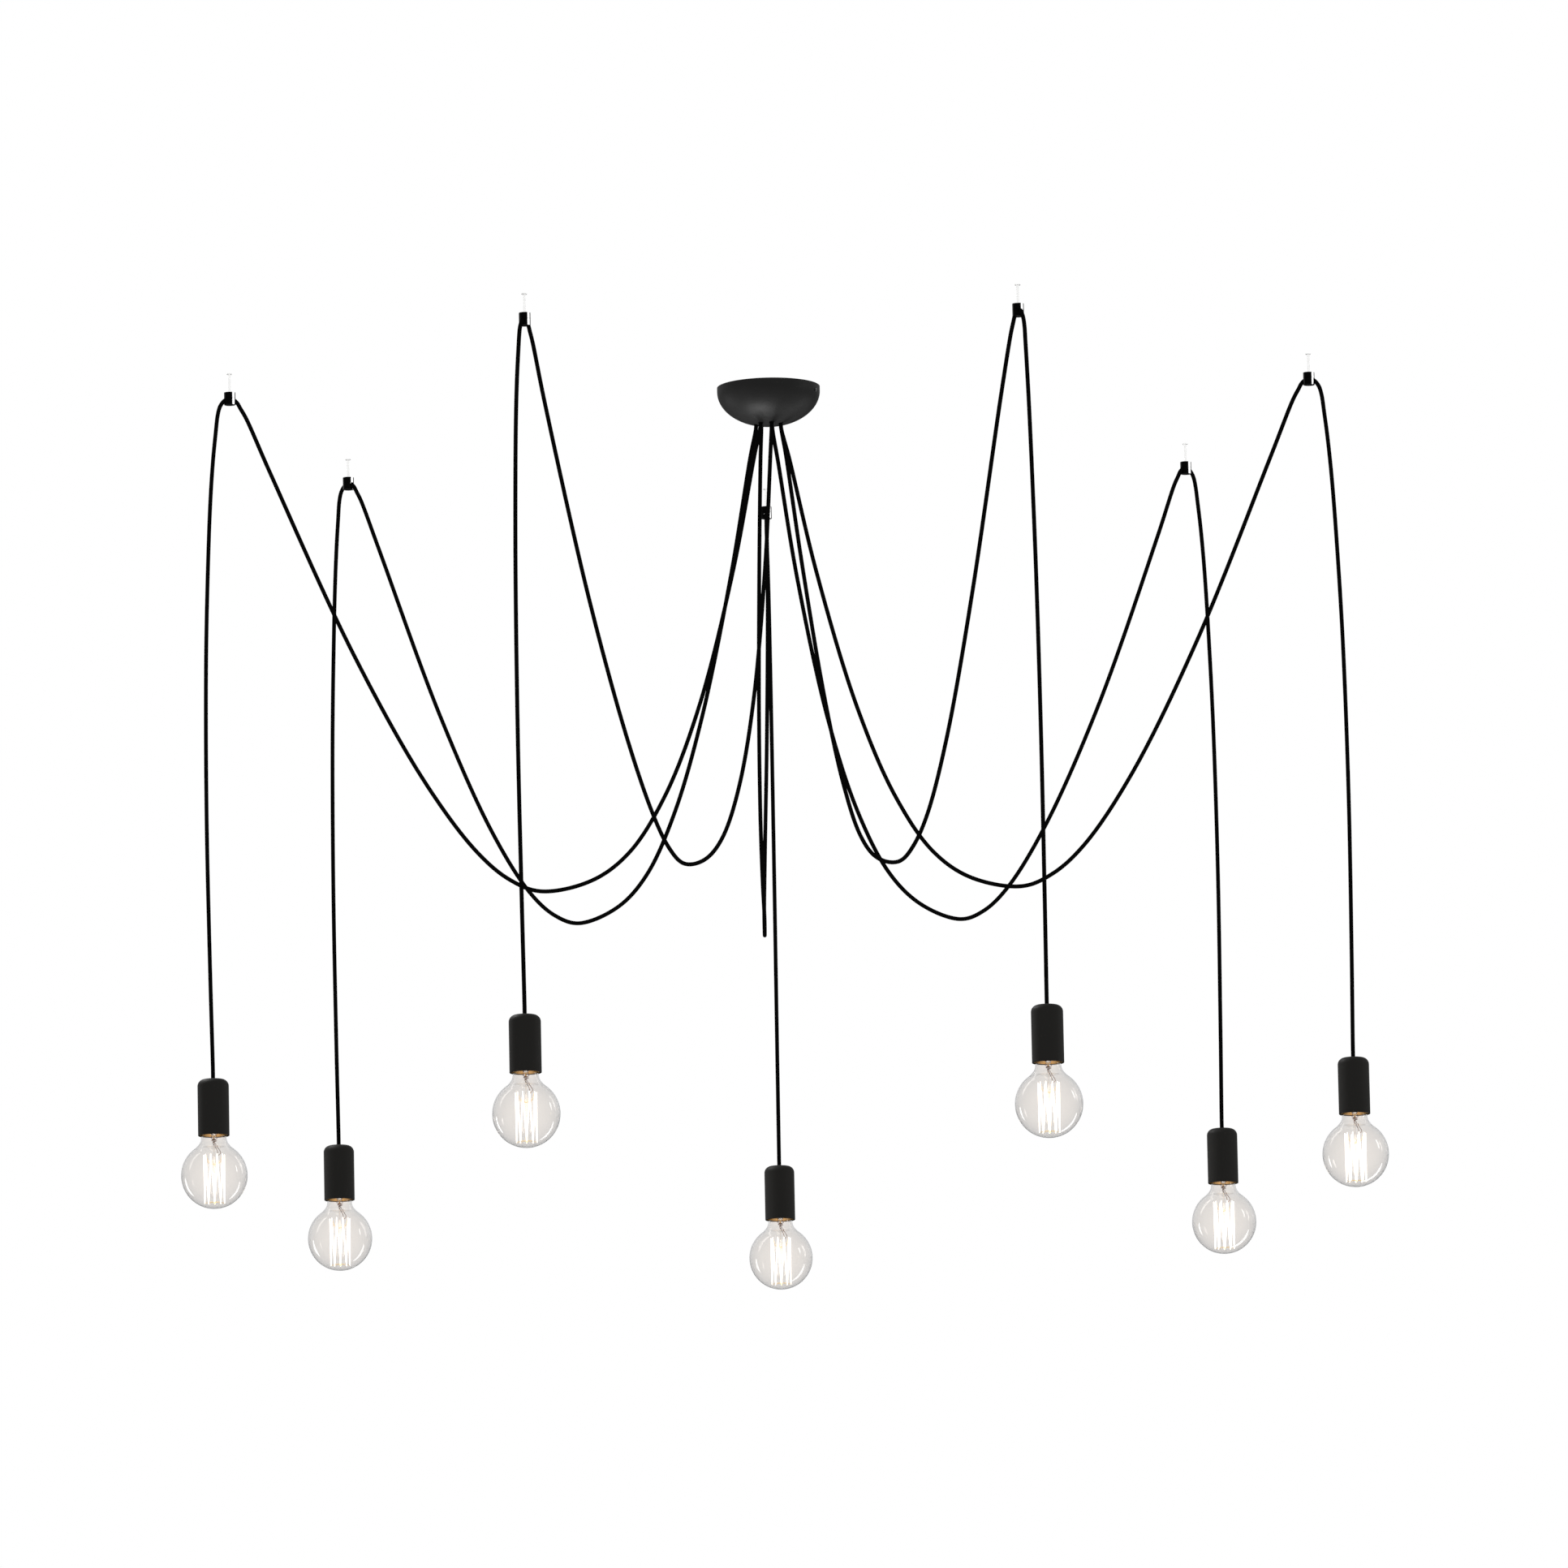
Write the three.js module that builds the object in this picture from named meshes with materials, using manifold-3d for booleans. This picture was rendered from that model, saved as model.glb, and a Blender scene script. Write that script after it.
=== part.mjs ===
// Spider pendant light. A canopy on the ceiling feeds seven cords. Each cord swags out to a cable
// holder under the ceiling, passes over its saddle and drops to a lampholder with a clear globe bulb.
// Millimetres, +Z up, the ceiling at height zero and the canopy's centre at the origin.

import * as THREE from 'three';
import { mergeVertices } from 'three/addons/utils/BufferGeometryUtils.js';
import Module from 'manifold-3d';

const wasm = await Module();
wasm.setup();

// Layout of the arms
const armCount = 7;
const firstArmTurn = Math.PI / 2;
const holderCircle = 800; // radius of the ring of cable holders
const lampCircle = 838; // radius of the ring of lamps: the stiff cord carries them a little further out
const holderDrop = 28; // ceiling to the top of a cable holder
const lampDrop = 1030; // ceiling to the top of a lampholder

// Clearances
const faceGap = 0.3; // between faces that rest on each other
const slipGap = 0.4; // round a cord, pin or screw in its hole
const overrun = 2; // how far a cutting tool runs past the material

// Cord
const cordRadius = 3;
const cordSides = 8;
const holeSides = 6;

// Canopy dome, a spun bowl with an upright lip
const domeRadius = 75;
const domeLip = 6;
const domeBowl = 51;
const domeWall = 1.2;
const domeSides = 24;
const domeSteps = 5;
const exitCircle = 19; // ring of cord holes in the dome's floor
const exitTurn = THREE.MathUtils.degToRad(36.5); // how far a hole is turned ahead of its own arm

// Ceiling bracket, a strap with a bent tab at each end
const strapTurn = THREE.MathUtils.degToRad(-24);
const strapWidth = 18;
const strapThick = 2;
const tabDepth = 17;
const bendRadius = 2;
const slotLength = 14;
const slotInset = 20; // outside of a tab to the middle of its slot

// Screws: a pan head and a plain shank
const sideScrew = { shank: 1.5, head: 3.3, headTall: 2.2, length: 9, drop: 10.5 };
const ceilingScrew = { shank: 2, head: 4.2, headTall: 2.6 };
const blockScrew = { shank: 1.5, head: 2.8, headTall: 1.6 };
const gripScrew = { shank: 2, head: 3.8, headTall: 2.4 };
const screwSides = 8;

// Terminal block: poles side by side, each with a through bore and two screw wells
const poleCount = 3;
const polePitch = 12;
const blockDepth = 18;
const blockTall = 14;
const wireBore = 2;
const wellRadius = 2.2;
const wellDepth = 5;
const wellPlace = 5.5;

// Cord grip on the dome's floor: a base that the cords pass and a cover that clamps them
const gripRadius = 27;
const gripTop = 46; // ceiling to the top of the base
const coverThick = 4;
const coverRim = 1.5;
const tailRadius = 1.6; // bundle of conductors that leaves each cord through the cover
const gripSides = 12;

// Cable holder: a cap on a stud and a base, with an arched channel between them
const studRadius = 1.5;
const studFoot = 4;
const studFootThick = 1.2;
const holderRadius = 8.25;
const holderTall = 18;
const capTall = 8;
const saddleRadius = 12;
const saddleDrop = 9.1; // top of the holder to the cord's axis over the saddle
const swayRoom = 1.2; // room at each side of the cord in the channel, for its sway
const archRoom = 0.5; // room above and below it, so that the channel opens into the parting plane
const lugWidth = 4;
const lugThick = 1.6;
const lugTall = 2.5;
const lugPlace = 6.2;
const holderSides = 12;
const channelSides = 6;
const channelSteps = 4;

// Lampholder: a sleeve with rounded shoulders round a socket
const sleeveRadius = 22.5;
const sleeveTall = 82.5;
const sleeveWall = 2;
const shoulderRadius = 10;
const crownRise = 0.8;
const cordSocketDepth = 6;
const skirtDrop = 68; // top of the lampholder to the socket's lower edge
const skirtRise = 3;
const lampholderSides = 12;

// Bulb: a glass globe on a neck, a screw cap, and a stem with a cage of filament
const globeRadius = 47.5;
const bulbLength = 140;
const neckRadius = 18.2;
const neckThroat = 12.6;
const glassWall = 1;
const neckBelowSleeve = 8; // straight neck that shows under the lampholder
const flareTurn = THREE.MathUtils.degToRad(33); // where the flare meets the globe, from its top
const capRadius = 13;
const capLength = 26;
const contactRadius = 5;
const contactTall = 1.8;
const insulatorTall = 4;
const bulbSides = 12;
const globeSteps = 7;
const hollowSteps = 4;
const stemRadius = 4;
const stemFoot = 9;
const stemLength = 52;
const rodRadius = 1.2;
const cageRadius = 15.5;
const cageLength = 70;
const cageFloor = 12; // cage's lower bends to the outside of the globe's bottom
const strandCount = 9; // odd, so that the filament ends at the foot of the cage
const capSides = 8;
const wireRadius = 0.6;
const wireSides = 3;

// Heights worked out from the sizes above
const saddleHeight = -holderDrop - saddleDrop;
const sleeveRim = -lampDrop - sleeveTall;
const globeHeight = sleeveRim - neckBelowSleeve - globeRadius;
const globeBottom = globeHeight - globeRadius;
const contactTip = globeBottom + bulbLength;
const capFoot = contactTip - capLength;

// Routes of one arm's cord, chosen by hand: distance out from the light's axis, distance aside, height.
// The swag comes out of its hole beside the arm's own plane, bulges a little further and then joins it.
const swagRoute = [
  [15.3, 11.3, -46], [15.3, 11.3, -58], [26, 13.4, -104], [62, 18.5, -274], [118, 22.5, -478],
  [172, 22.8, -612], [226, 21, -695], [281, 19, -736], [357, 18.5, -753], [402, 18.3, -737],
  [449, 17.8, -698], [522, 14.3, -599], [625, 7.2, -409], [742, 0.3, -145], [776.5, 0, -65],
  [784.8, 0, -50.5], [788, 0, -44.6], [791.4, 0, -40.7], [796.4, 0, -37.3], [799.85, 0, -37.3],
];
const dropRoute = [
  [800.15, 0, -37.3], [803.6, 0, -37.3], [808.6, 0, -40.7], [812, 0, -44.6], [815.2, 0, -50.5],
  [818.3, 0, -63], [821.3, -0.5, -88], [825.3, -1.1, -125], [830, -1.6, -185], [835, -1.8, -285],
  [839.8, -1.7, -430], [842, -1.2, -650], [840, -0.4, -880], [838, 0, -1018], [838, 0, -1035.7],
];

const finishes = {
  powderCoat: { color: '#2a2a2a', roughness: 0.55, metalness: 0.1 },
  zincSteel: { color: '#b9bcc0', roughness: 0.35, metalness: 0.9 },
  paleNylon: { color: '#e4e2dc', roughness: 0.6, metalness: 0 },
  cordBlack: { color: '#0b0b0b', roughness: 0.8, metalness: 0 },
  glossBlack: { color: '#0d0e10', roughness: 0.15, metalness: 0 },
  sleeveBlack: { color: '#1f1f1e', roughness: 0.5, metalness: 0.1 },
  clearGlass: { color: '#dfe3e4', roughness: 0.03, metalness: 0 },
  brass: { color: '#c9a253', roughness: 0.3, metalness: 0.9 },
};

// Mesh helpers

function piece(name, geometry, finish) {
  const mesh = new THREE.Mesh(geometry, new THREE.MeshStandardMaterial(finishes[finish]));
  mesh.name = name;
  return mesh;
}

// Revolves a profile of [radius, height] points about the upright axis
function revolve(profile, sides) {
  const points = profile.map(([radius, height]) => new THREE.Vector2(radius, height));
  return new THREE.LatheGeometry(points, sides).rotateX(Math.PI / 2);
}

// Points of an elliptical arc, with angles measured from straight up towards the outside
function arc(wide, tall, height, from, to, steps) {
  return Array.from({ length: steps + 1 }, (_, i) => {
    const angle = THREE.MathUtils.lerp(from, to, i / steps);
    return [wide * Math.sin(angle), height + tall * Math.cos(angle)];
  });
}

// A round bar or hole from one height to another
function roundBar(radius, low, high, sides) {
  return revolve([[0, low], [radius, low], [radius, high], [0, high]], sides);
}

// Corner radius of a hole whose flats stand clear of a round piece
function clearOf(radius, sides) {
  return (radius + slipGap) / Math.cos(Math.PI / sides);
}

function clearHole(radius, low, high, sides) {
  return roundBar(clearOf(radius, sides), low, high, sides);
}

function toSolid(geometry) {
  const bare = new THREE.BufferGeometry();
  bare.setAttribute('position', geometry.getAttribute('position'));
  bare.setIndex(geometry.getIndex());
  const merged = mergeVertices(bare);
  const corners = merged.getIndex().array;
  const triVerts = [];
  for (let i = 0; i < corners.length; i += 3) {
    const [a, b, c] = corners.subarray(i, i + 3);
    if (a !== b && b !== c && c !== a) triVerts.push(a, b, c);
  }
  const vertProperties = new Float32Array(merged.getAttribute('position').array);
  return new wasm.Manifold(
    new wasm.Mesh({ numProp: 3, vertProperties, triVerts: new Uint32Array(triVerts) }),
  );
}

function toGeometry(solid) {
  const mesh = solid.getMesh();
  const geometry = new THREE.BufferGeometry();
  geometry.setAttribute('position', new THREE.BufferAttribute(mesh.vertProperties, 3));
  geometry.setIndex(new THREE.BufferAttribute(mesh.triVerts, 1));
  geometry.computeVertexNormals();
  return geometry;
}

function cut(geometry, tools) {
  return toGeometry(tools.reduce((solid, tool) => solid.subtract(toSolid(tool)), toSolid(geometry)));
}

function join(geometries) {
  return toGeometry(geometries.map(toSolid).reduce((solid, other) => solid.add(other)));
}

// A path that puts one ring of its tube at each of its points
class PointedPath extends THREE.CatmullRomCurve3 {
  getPointAt(share) {
    return this.getPoint(share);
  }

  getTangentAt(share) {
    return this.getTangent(share);
  }
}

// A tube along points, with an oval section of the given half sizes
function tube(points, halfWide, halfTall, sides) {
  const outline = Array.from({ length: sides }, (_, i) => {
    const angle = (2 * Math.PI * (i + 1 / 2)) / sides;
    return new THREE.Vector2(halfWide * Math.cos(angle), halfTall * Math.sin(angle));
  });
  const path = new PointedPath(points);
  return new THREE.ExtrudeGeometry(new THREE.Shape(outline), {
    steps: points.length - 1,
    extrudePath: path,
  });
}

// Canopy

// A point of the dome's outside or, with its wall taken off, of its inside
function domeArc(inset, low, high) {
  return arc(domeRadius - inset, -(domeBowl - inset), -domeLip, low, high, domeSteps);
}

function aroundDome(count, radius, turn) {
  return Array.from({ length: count }, (_, i) => {
    const angle = firstArmTurn + turn + (2 * Math.PI * i) / count;
    return new THREE.Vector3(radius * Math.cos(angle), radius * Math.sin(angle), 0);
  });
}

// Upright holes on the ring of cord exits, clear of what passes through
function exitHoles(radius, low, high, sides) {
  return aroundDome(armCount, exitCircle, exitTurn).map((place) =>
    clearHole(radius, low, high, sides).translate(place.x, place.y, 0),
  );
}

// A hole for a side screw, from one distance along the strap to another
function sideHole(near, far) {
  return clearHole(sideScrew.shank, near, far, holeSides)
    .rotateY(Math.PI / 2)
    .translate(0, 0, -sideScrew.drop);
}

function canopyDome() {
  const outside = domeArc(0, 0, Math.PI / 2);
  const inside = domeArc(domeWall, Math.PI / 2, 0);
  const shell = revolve(
    [...outside, [domeRadius, 0], [domeRadius - domeWall, 0], ...inside],
    domeSides,
  );
  const reach = domeRadius + overrun;
  const holes = [
    ...exitHoles(cordRadius, -domeLip - domeBowl - overrun, -gripTop, cordSides),
    sideHole(domeRadius / 2, reach).rotateZ(strapTurn),
    sideHole(-reach, -domeRadius / 2).rotateZ(strapTurn),
  ];
  return piece('canopy_dome', cut(shell, holes), 'powderCoat');
}

// Half length of the strap, to the outside of its tabs: their corners stand clear of the dome's flats
function strapReach() {
  const drop = (tabDepth - domeLip) / (domeBowl - domeWall);
  const curve = (domeRadius - domeWall) * Math.sqrt(1 - drop * drop);
  const flat = curve * Math.cos(Math.PI / domeSides);
  return Math.sqrt(flat * flat - (strapWidth / 2) ** 2) - 2 * slipGap;
}

const tabReach = strapReach();
const slotPlace = tabReach - slotInset;

function slot(place) {
  const half = (slotLength - 2 * (ceilingScrew.shank + slipGap)) / 2;
  const radius = ceilingScrew.shank + slipGap;
  const outline = new THREE.Shape();
  outline.absarc(place + half, 0, radius, -Math.PI / 2, Math.PI / 2);
  outline.absarc(place - half, 0, radius, Math.PI / 2, (3 * Math.PI) / 2);
  return new THREE.ExtrudeGeometry(outline, {
    depth: strapThick + 2 * overrun,
    bevelEnabled: false,
    curveSegments: 3,
  }).translate(0, 0, -strapThick - overrun);
}

function ceilingBracket() {
  const inner = tabReach - strapThick;
  const outline = new THREE.Shape();
  outline.moveTo(-tabReach, -tabDepth);
  outline.lineTo(-inner, -tabDepth);
  outline.lineTo(-inner, -strapThick - bendRadius);
  outline.absarc(-inner + bendRadius, -strapThick - bendRadius, bendRadius, Math.PI, Math.PI / 2, true);
  outline.lineTo(inner - bendRadius, -strapThick);
  outline.absarc(inner - bendRadius, -strapThick - bendRadius, bendRadius, Math.PI / 2, 0, true);
  outline.lineTo(inner, -tabDepth);
  outline.lineTo(tabReach, -tabDepth);
  const outer = strapThick + bendRadius;
  outline.absarc(tabReach - outer, -outer, outer, 0, Math.PI / 2, false);
  outline.absarc(-tabReach + outer, -outer, outer, Math.PI / 2, Math.PI, false);
  const strap = new THREE.ExtrudeGeometry(outline, {
    depth: strapWidth,
    bevelEnabled: false,
    curveSegments: 2,
  }).rotateX(Math.PI / 2).translate(0, strapWidth / 2, 0);
  const holes = [
    slot(slotPlace),
    slot(-slotPlace),
    clearHole(blockScrew.shank, -strapThick - overrun, overrun, holeSides)
      .translate(polePitch / 2, 0, 0),
    sideHole(inner - overrun, tabReach + overrun),
    sideHole(-tabReach - overrun, -inner + overrun),
  ];
  return piece('ceiling_bracket', cut(strap, holes).rotateZ(strapTurn), 'zincSteel');
}

// A screw that points up, with its head's seat at height zero and its shank above it
function screw({ shank, head, headTall }, length) {
  return revolve(
    [[0, -headTall], [(head + shank) / 2, -headTall], [head, 0], [shank, 0], [shank, length], [0, length]],
    screwSides,
  );
}

function sideScrewPiece(side) {
  const geometry = screw(sideScrew, sideScrew.length)
    .rotateY(-Math.PI / 2)
    .translate(domeRadius + faceGap, 0, -sideScrew.drop)
    .rotateZ(strapTurn + (side === 1 ? 0 : Math.PI));
  return piece(`side_screw_${side}`, geometry, 'zincSteel');
}

function ceilingScrewPiece(side) {
  const length = strapThick + faceGap;
  const geometry = screw(ceilingScrew, length)
    .translate(side === 1 ? slotPlace : -slotPlace, 0, -length)
    .rotateZ(strapTurn);
  return piece(`ceiling_screw_${side}`, geometry, 'zincSteel');
}

const blockTop = -strapThick - faceGap;

function terminalBlock() {
  const length = poleCount * polePitch;
  const body = new THREE.BoxGeometry(length, blockDepth, blockTall)
    .translate(0, 0, blockTop - blockTall / 2);
  const floor = blockTop - blockTall;
  const holes = [
    clearHole(blockScrew.shank, floor - overrun, blockTop + overrun, holeSides)
      .translate(polePitch / 2, 0, 0),
  ];
  for (let pole = 0; pole < poleCount; pole += 1) {
    const place = (pole - (poleCount - 1) / 2) * polePitch;
    const reach = blockDepth / 2 + overrun;
    holes.push(
      roundBar(wireBore, -reach, reach, holeSides)
        .rotateX(Math.PI / 2)
        .translate(place, 0, blockTop - blockTall / 2),
    );
    for (const side of [-1, 1]) {
      holes.push(
        roundBar(wellRadius, floor - overrun, floor + wellDepth, holeSides)
          .translate(place, side * wellPlace, 0),
      );
    }
  }
  return piece('terminal_block', cut(body, holes).rotateZ(strapTurn), 'paleNylon');
}

function terminalScrew() {
  const length = blockTall + strapThick + faceGap;
  const geometry = screw(blockScrew, length)
    .translate(polePitch / 2, 0, blockTop - blockTall - faceGap)
    .rotateZ(strapTurn);
  return piece('terminal_screw', geometry, 'zincSteel');
}

// The dome's inside height at a distance from its axis
function domeFloor(radius) {
  const share = radius / (domeRadius - domeWall);
  return -domeLip - (domeBowl - domeWall) * Math.sqrt(1 - share * share);
}

function cordGripBase() {
  const lift = 3 * faceGap; // the flats of the dome's floor stand a little above its true curve
  const floor = [0, 1 / 2, 1].map((share) => [gripRadius * share, domeFloor(gripRadius * share) + lift]);
  const body = revolve([...floor, [gripRadius, -gripTop], [0, -gripTop]], gripSides);
  const low = -domeLip - domeBowl;
  const holes = [
    ...exitHoles(cordRadius, low, -gripTop + overrun, cordSides),
    clearHole(gripScrew.shank, domeFloor(0) + 2 * domeWall, -gripTop + overrun, holeSides),
  ];
  return piece('cord_grip_base', cut(body, holes), 'paleNylon');
}

function cordGripCover() {
  const low = -gripTop + faceGap;
  const high = low + coverThick;
  const body = revolve(
    [[0, low], [gripRadius, low], [gripRadius - coverRim, high], [0, high]],
    gripSides,
  );
  const holes = [
    ...exitHoles(tailRadius, low - overrun, high + overrun, holeSides),
    clearHole(gripScrew.shank, low - overrun, high + overrun, holeSides),
  ];
  return piece('cord_grip_cover', cut(body, holes), 'paleNylon');
}

function gripScrewPiece() {
  const seat = -gripTop + 2 * faceGap + coverThick;
  const length = seat - domeFloor(0) - 3 * domeWall;
  const geometry = screw(gripScrew, length).rotateX(Math.PI).translate(0, 0, seat);
  return piece('grip_screw', geometry, 'zincSteel');
}

// Cable holder

// The arched channel for the cord over the saddle, about the holder's own axis, run out at its ends
function channelTool() {
  const reach = Math.asin(holderRadius / saddleRadius);
  const points = Array.from({ length: channelSteps + 1 }, (_, i) => {
    const angle = THREE.MathUtils.lerp(-reach, reach, i / channelSteps);
    const sink = saddleRadius * (1 - Math.cos(angle));
    return new THREE.Vector3(saddleRadius * Math.sin(angle), 0, saddleHeight - sink);
  });
  const runOut = 2 * cordRadius + overrun;
  const end = points.at(-1).clone();
  end.add(new THREE.Vector3(runOut * Math.cos(reach), 0, -runOut * Math.sin(reach)));
  const half = clearOf(cordRadius, channelSides);
  const line = [new THREE.Vector3(-end.x, 0, end.z), ...points, end];
  return tube(line, half + swayRoom, half + archRoom, channelSides);
}

// A lug of the base, or with some room round it the pocket of the cap that takes it
function lug(side, room) {
  return new THREE.BoxGeometry(lugWidth + 2 * room, lugThick + 2 * room, 2 * lugTall + 2 * room)
    .translate(0, side * lugPlace, -holderDrop - capTall);
}

function holderTop() {
  const body = revolve(
    [
      [0, -holderDrop - capTall], [holderRadius, -holderDrop - capTall], [holderRadius, -holderDrop],
      [studRadius, -holderDrop], [studRadius, -studFootThick], [studFoot, -studFootThick],
      [studFoot, 0], [0, 0],
    ],
    holderSides,
  );
  return cut(body, [channelTool(), lug(1, faceGap), lug(-1, faceGap)]);
}

function holderBase() {
  const top = -holderDrop - capTall - faceGap;
  const bottom = -holderDrop - holderTall;
  const body = roundBar(holderRadius, bottom, top, holderSides);
  return cut(join([body, lug(1, 0), lug(-1, 0)]), [channelTool()]);
}

// Cord

function cord(route) {
  const points = route.map((place) => new THREE.Vector3(...place));
  return tube(points, cordRadius, cordRadius, cordSides);
}

// Lampholder

function lampholder() {
  const top = -lampDrop;
  const skirt = top - skirtDrop;
  const bore = clearOf(capRadius, lampholderSides);
  const cordBore = clearOf(cordRadius, lampholderSides);
  const shoulderFoot = top - crownRise - shoulderRadius;
  const shoulder = arc(shoulderRadius, shoulderRadius, shoulderFoot, Math.PI / 2, 0, 3)
    .map(([out, height]) => [sleeveRadius - shoulderRadius + out, height]);
  return revolve(
    [
      [0, contactTip + faceGap], [bore, contactTip + faceGap], [bore, skirt],
      [sleeveRadius - sleeveWall, skirt + skirtRise], [sleeveRadius - sleeveWall, sleeveRim],
      [sleeveRadius, sleeveRim],
      ...shoulder,
      [cordBore, top], [cordBore, top - cordSocketDepth], [0, top - cordSocketDepth],
    ],
    lampholderSides,
  );
}

// Bulb

// The lower edge of a globe's flare, and the neck above it, for an outer or inner surface
function bulbSurface(inset, steps) {
  const radius = globeRadius - inset;
  const neck = neckRadius - inset;
  const flareEnd = [radius * Math.sin(flareTurn), globeHeight + radius * Math.cos(flareTurn)];
  const flareMid = [(neck * 2 + flareEnd[0]) / 3, (flareEnd[1] + sleeveRim - inset) / 2];
  return {
    globe: arc(radius, radius, globeHeight, Math.PI, flareTurn, steps),
    neck: [flareMid, [neck, sleeveRim + neckRadius / 4]],
  };
}

function bulbGlass() {
  const outer = bulbSurface(0, globeSteps);
  const inner = bulbSurface(glassWall, hollowSteps);
  const lip = capFoot - faceGap;
  return revolve(
    [
      ...outer.globe, ...outer.neck, [neckThroat, lip], [neckThroat - glassWall, lip],
      ...inner.neck.reverse(), ...inner.globe.reverse(),
    ],
    bulbSides,
  );
}

// The filament is one wire: out from the stem, down and up round a cage, and in to the rod's foot
function filament(top, low, high) {
  const points = [new THREE.Vector3(0, 0, top)];
  for (let strand = 0; strand < strandCount; strand += 1) {
    const angle = (2 * Math.PI * strand) / strandCount;
    const ends = [high, low].map(
      (height) => new THREE.Vector3(cageRadius * Math.cos(angle), cageRadius * Math.sin(angle), height),
    );
    points.push(...(strand % 2 ? ends.reverse() : ends));
  }
  points.push(new THREE.Vector3(0, 0, low));
  return tube(points, wireRadius, wireRadius, wireSides);
}

function bulbBase() {
  const low = globeBottom + cageFloor;
  const stemTip = capFoot - stemLength;
  const capAndStem = revolve(
    [
      [0, low - rodRadius], [rodRadius, low - rodRadius], [rodRadius, stemTip],
      [stemRadius, stemTip + stemRadius], [stemFoot, capFoot], [capRadius, capFoot],
      [capRadius, contactTip - contactTall - insulatorTall], [contactRadius, contactTip - contactTall],
      [contactRadius, contactTip], [0, contactTip],
    ],
    capSides,
  );
  return join([capAndStem, filament(stemTip + stemRadius, low, low + cageLength)]);
}

// Assembly

const canopy = new THREE.Group();
canopy.add(
  canopyDome(), ceilingBracket(), sideScrewPiece(1), sideScrewPiece(2), ceilingScrewPiece(1),
  ceilingScrewPiece(2), terminalBlock(), terminalScrew(), cordGripBase(), cordGripCover(), gripScrewPiece(),
);

const light = new THREE.Group();
light.add(canopy);

// One arm's pieces, with the group that holds them and the finish of each
const holderShapes = [
  ['cable_holder_top', holderTop(), 'glossBlack'],
  ['cable_holder_base', holderBase(), 'glossBlack'],
];
const cordShapes = [
  ['cord_swag', cord(swagRoute), 'cordBlack'],
  ['cord_drop', cord(dropRoute), 'cordBlack'],
];
const lampShapes = [
  ['lampholder', lampholder(), 'sleeveBlack'],
  ['bulb_glass', bulbGlass(), 'clearGlass'],
  ['bulb_base', bulbBase(), 'brass'],
];

function station(shapes, out, number) {
  const group = new THREE.Group();
  group.position.x = out;
  group.add(...shapes.map(([name, geometry, finish]) => piece(`${name}_${number}`, geometry, finish)));
  return group;
}

for (let number = 1; number <= armCount; number += 1) {
  const arm = new THREE.Group();
  arm.rotation.z = firstArmTurn + (2 * Math.PI * (number - 1)) / armCount;
  arm.add(
    station(cordShapes, 0, number),
    station(holderShapes, holderCircle, number),
    station(lampShapes, lampCircle, number),
  );
  light.add(arm);
}

export default light;
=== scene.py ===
"""Spider pendant light: seven cords swag from a canopy and drop to globe bulbs in slim lampholders."""

import math

import bpy
from mathutils import Matrix, Vector


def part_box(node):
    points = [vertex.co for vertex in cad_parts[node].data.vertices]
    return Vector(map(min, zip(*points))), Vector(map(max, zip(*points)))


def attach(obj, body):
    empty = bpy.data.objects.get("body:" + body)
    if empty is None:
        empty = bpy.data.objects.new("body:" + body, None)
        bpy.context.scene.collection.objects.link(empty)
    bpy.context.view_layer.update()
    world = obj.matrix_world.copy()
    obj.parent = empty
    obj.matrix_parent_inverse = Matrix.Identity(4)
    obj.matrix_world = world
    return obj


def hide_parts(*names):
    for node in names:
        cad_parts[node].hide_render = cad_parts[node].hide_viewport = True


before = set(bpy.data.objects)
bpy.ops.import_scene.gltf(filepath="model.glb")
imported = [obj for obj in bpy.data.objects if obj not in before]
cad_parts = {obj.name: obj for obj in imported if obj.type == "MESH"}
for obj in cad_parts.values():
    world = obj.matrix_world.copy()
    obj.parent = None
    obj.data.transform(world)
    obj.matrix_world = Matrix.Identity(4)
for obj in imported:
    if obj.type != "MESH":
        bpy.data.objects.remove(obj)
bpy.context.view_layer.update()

MM = 0.001
ARMS = range(1, 8)

# Camera
# The photograph looks up at the light through a very long lens, from about 20 m away and nearly 4 m
# under the ceiling, with the picture turned about a degree on its side.

camera_place = Vector((-0.176, -19.816, -3.877))
turned_right = math.radians(0.5408)
tipped_up = math.radians(9.4272)
rolled = math.radians(-1.1665)
focal_px = 17053
photo_px = 1932
sensor = 36

camera_data = bpy.data.cameras.new("camera")
camera_data.sensor_width = sensor
camera_data.lens = sensor * focal_px / photo_px
camera_data.clip_end = 100
camera = bpy.data.objects.new("camera", camera_data)
bpy.context.collection.objects.link(camera)
camera.matrix_world = (
    Matrix.Translation(camera_place)
    @ Matrix.Rotation(-turned_right, 4, "Z")
    @ Matrix.Rotation(math.pi / 2 + tipped_up, 4, "X")
    @ Matrix.Rotation(rolled, 4, "Z")
)
bpy.context.scene.camera = camera

# Studio
# A white backdrop and a white floor, an unlit room behind the camera, and soft oval lamps that the camera
# doesn't see: a strip on the right, two rim lamps behind the light, and a low and a high lamp that are
# flagged off all but the canopy and the lampholders.


def colour(text):
    """Linear colour of an sRGB hex value."""
    parts = [int(text[i : i + 2], 16) / 255 for i in (1, 3, 5)]
    return (*[p / 12.92 if p <= 0.04045 else ((p + 0.055) / 1.055) ** 2.4 for p in parts], 1)


def add_node(tree, kind, inputs=None, **settings):
    """Adds a node; each input is a value or another node's output."""
    made = tree.nodes.new(kind)
    for name, value in settings.items():
        setattr(made, name, value)
    for name, value in (inputs or {}).items():
        if isinstance(value, bpy.types.NodeSocket):
            tree.links.new(value, made.inputs[name])
        else:
            made.inputs[name].default_value = value
    return made


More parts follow.
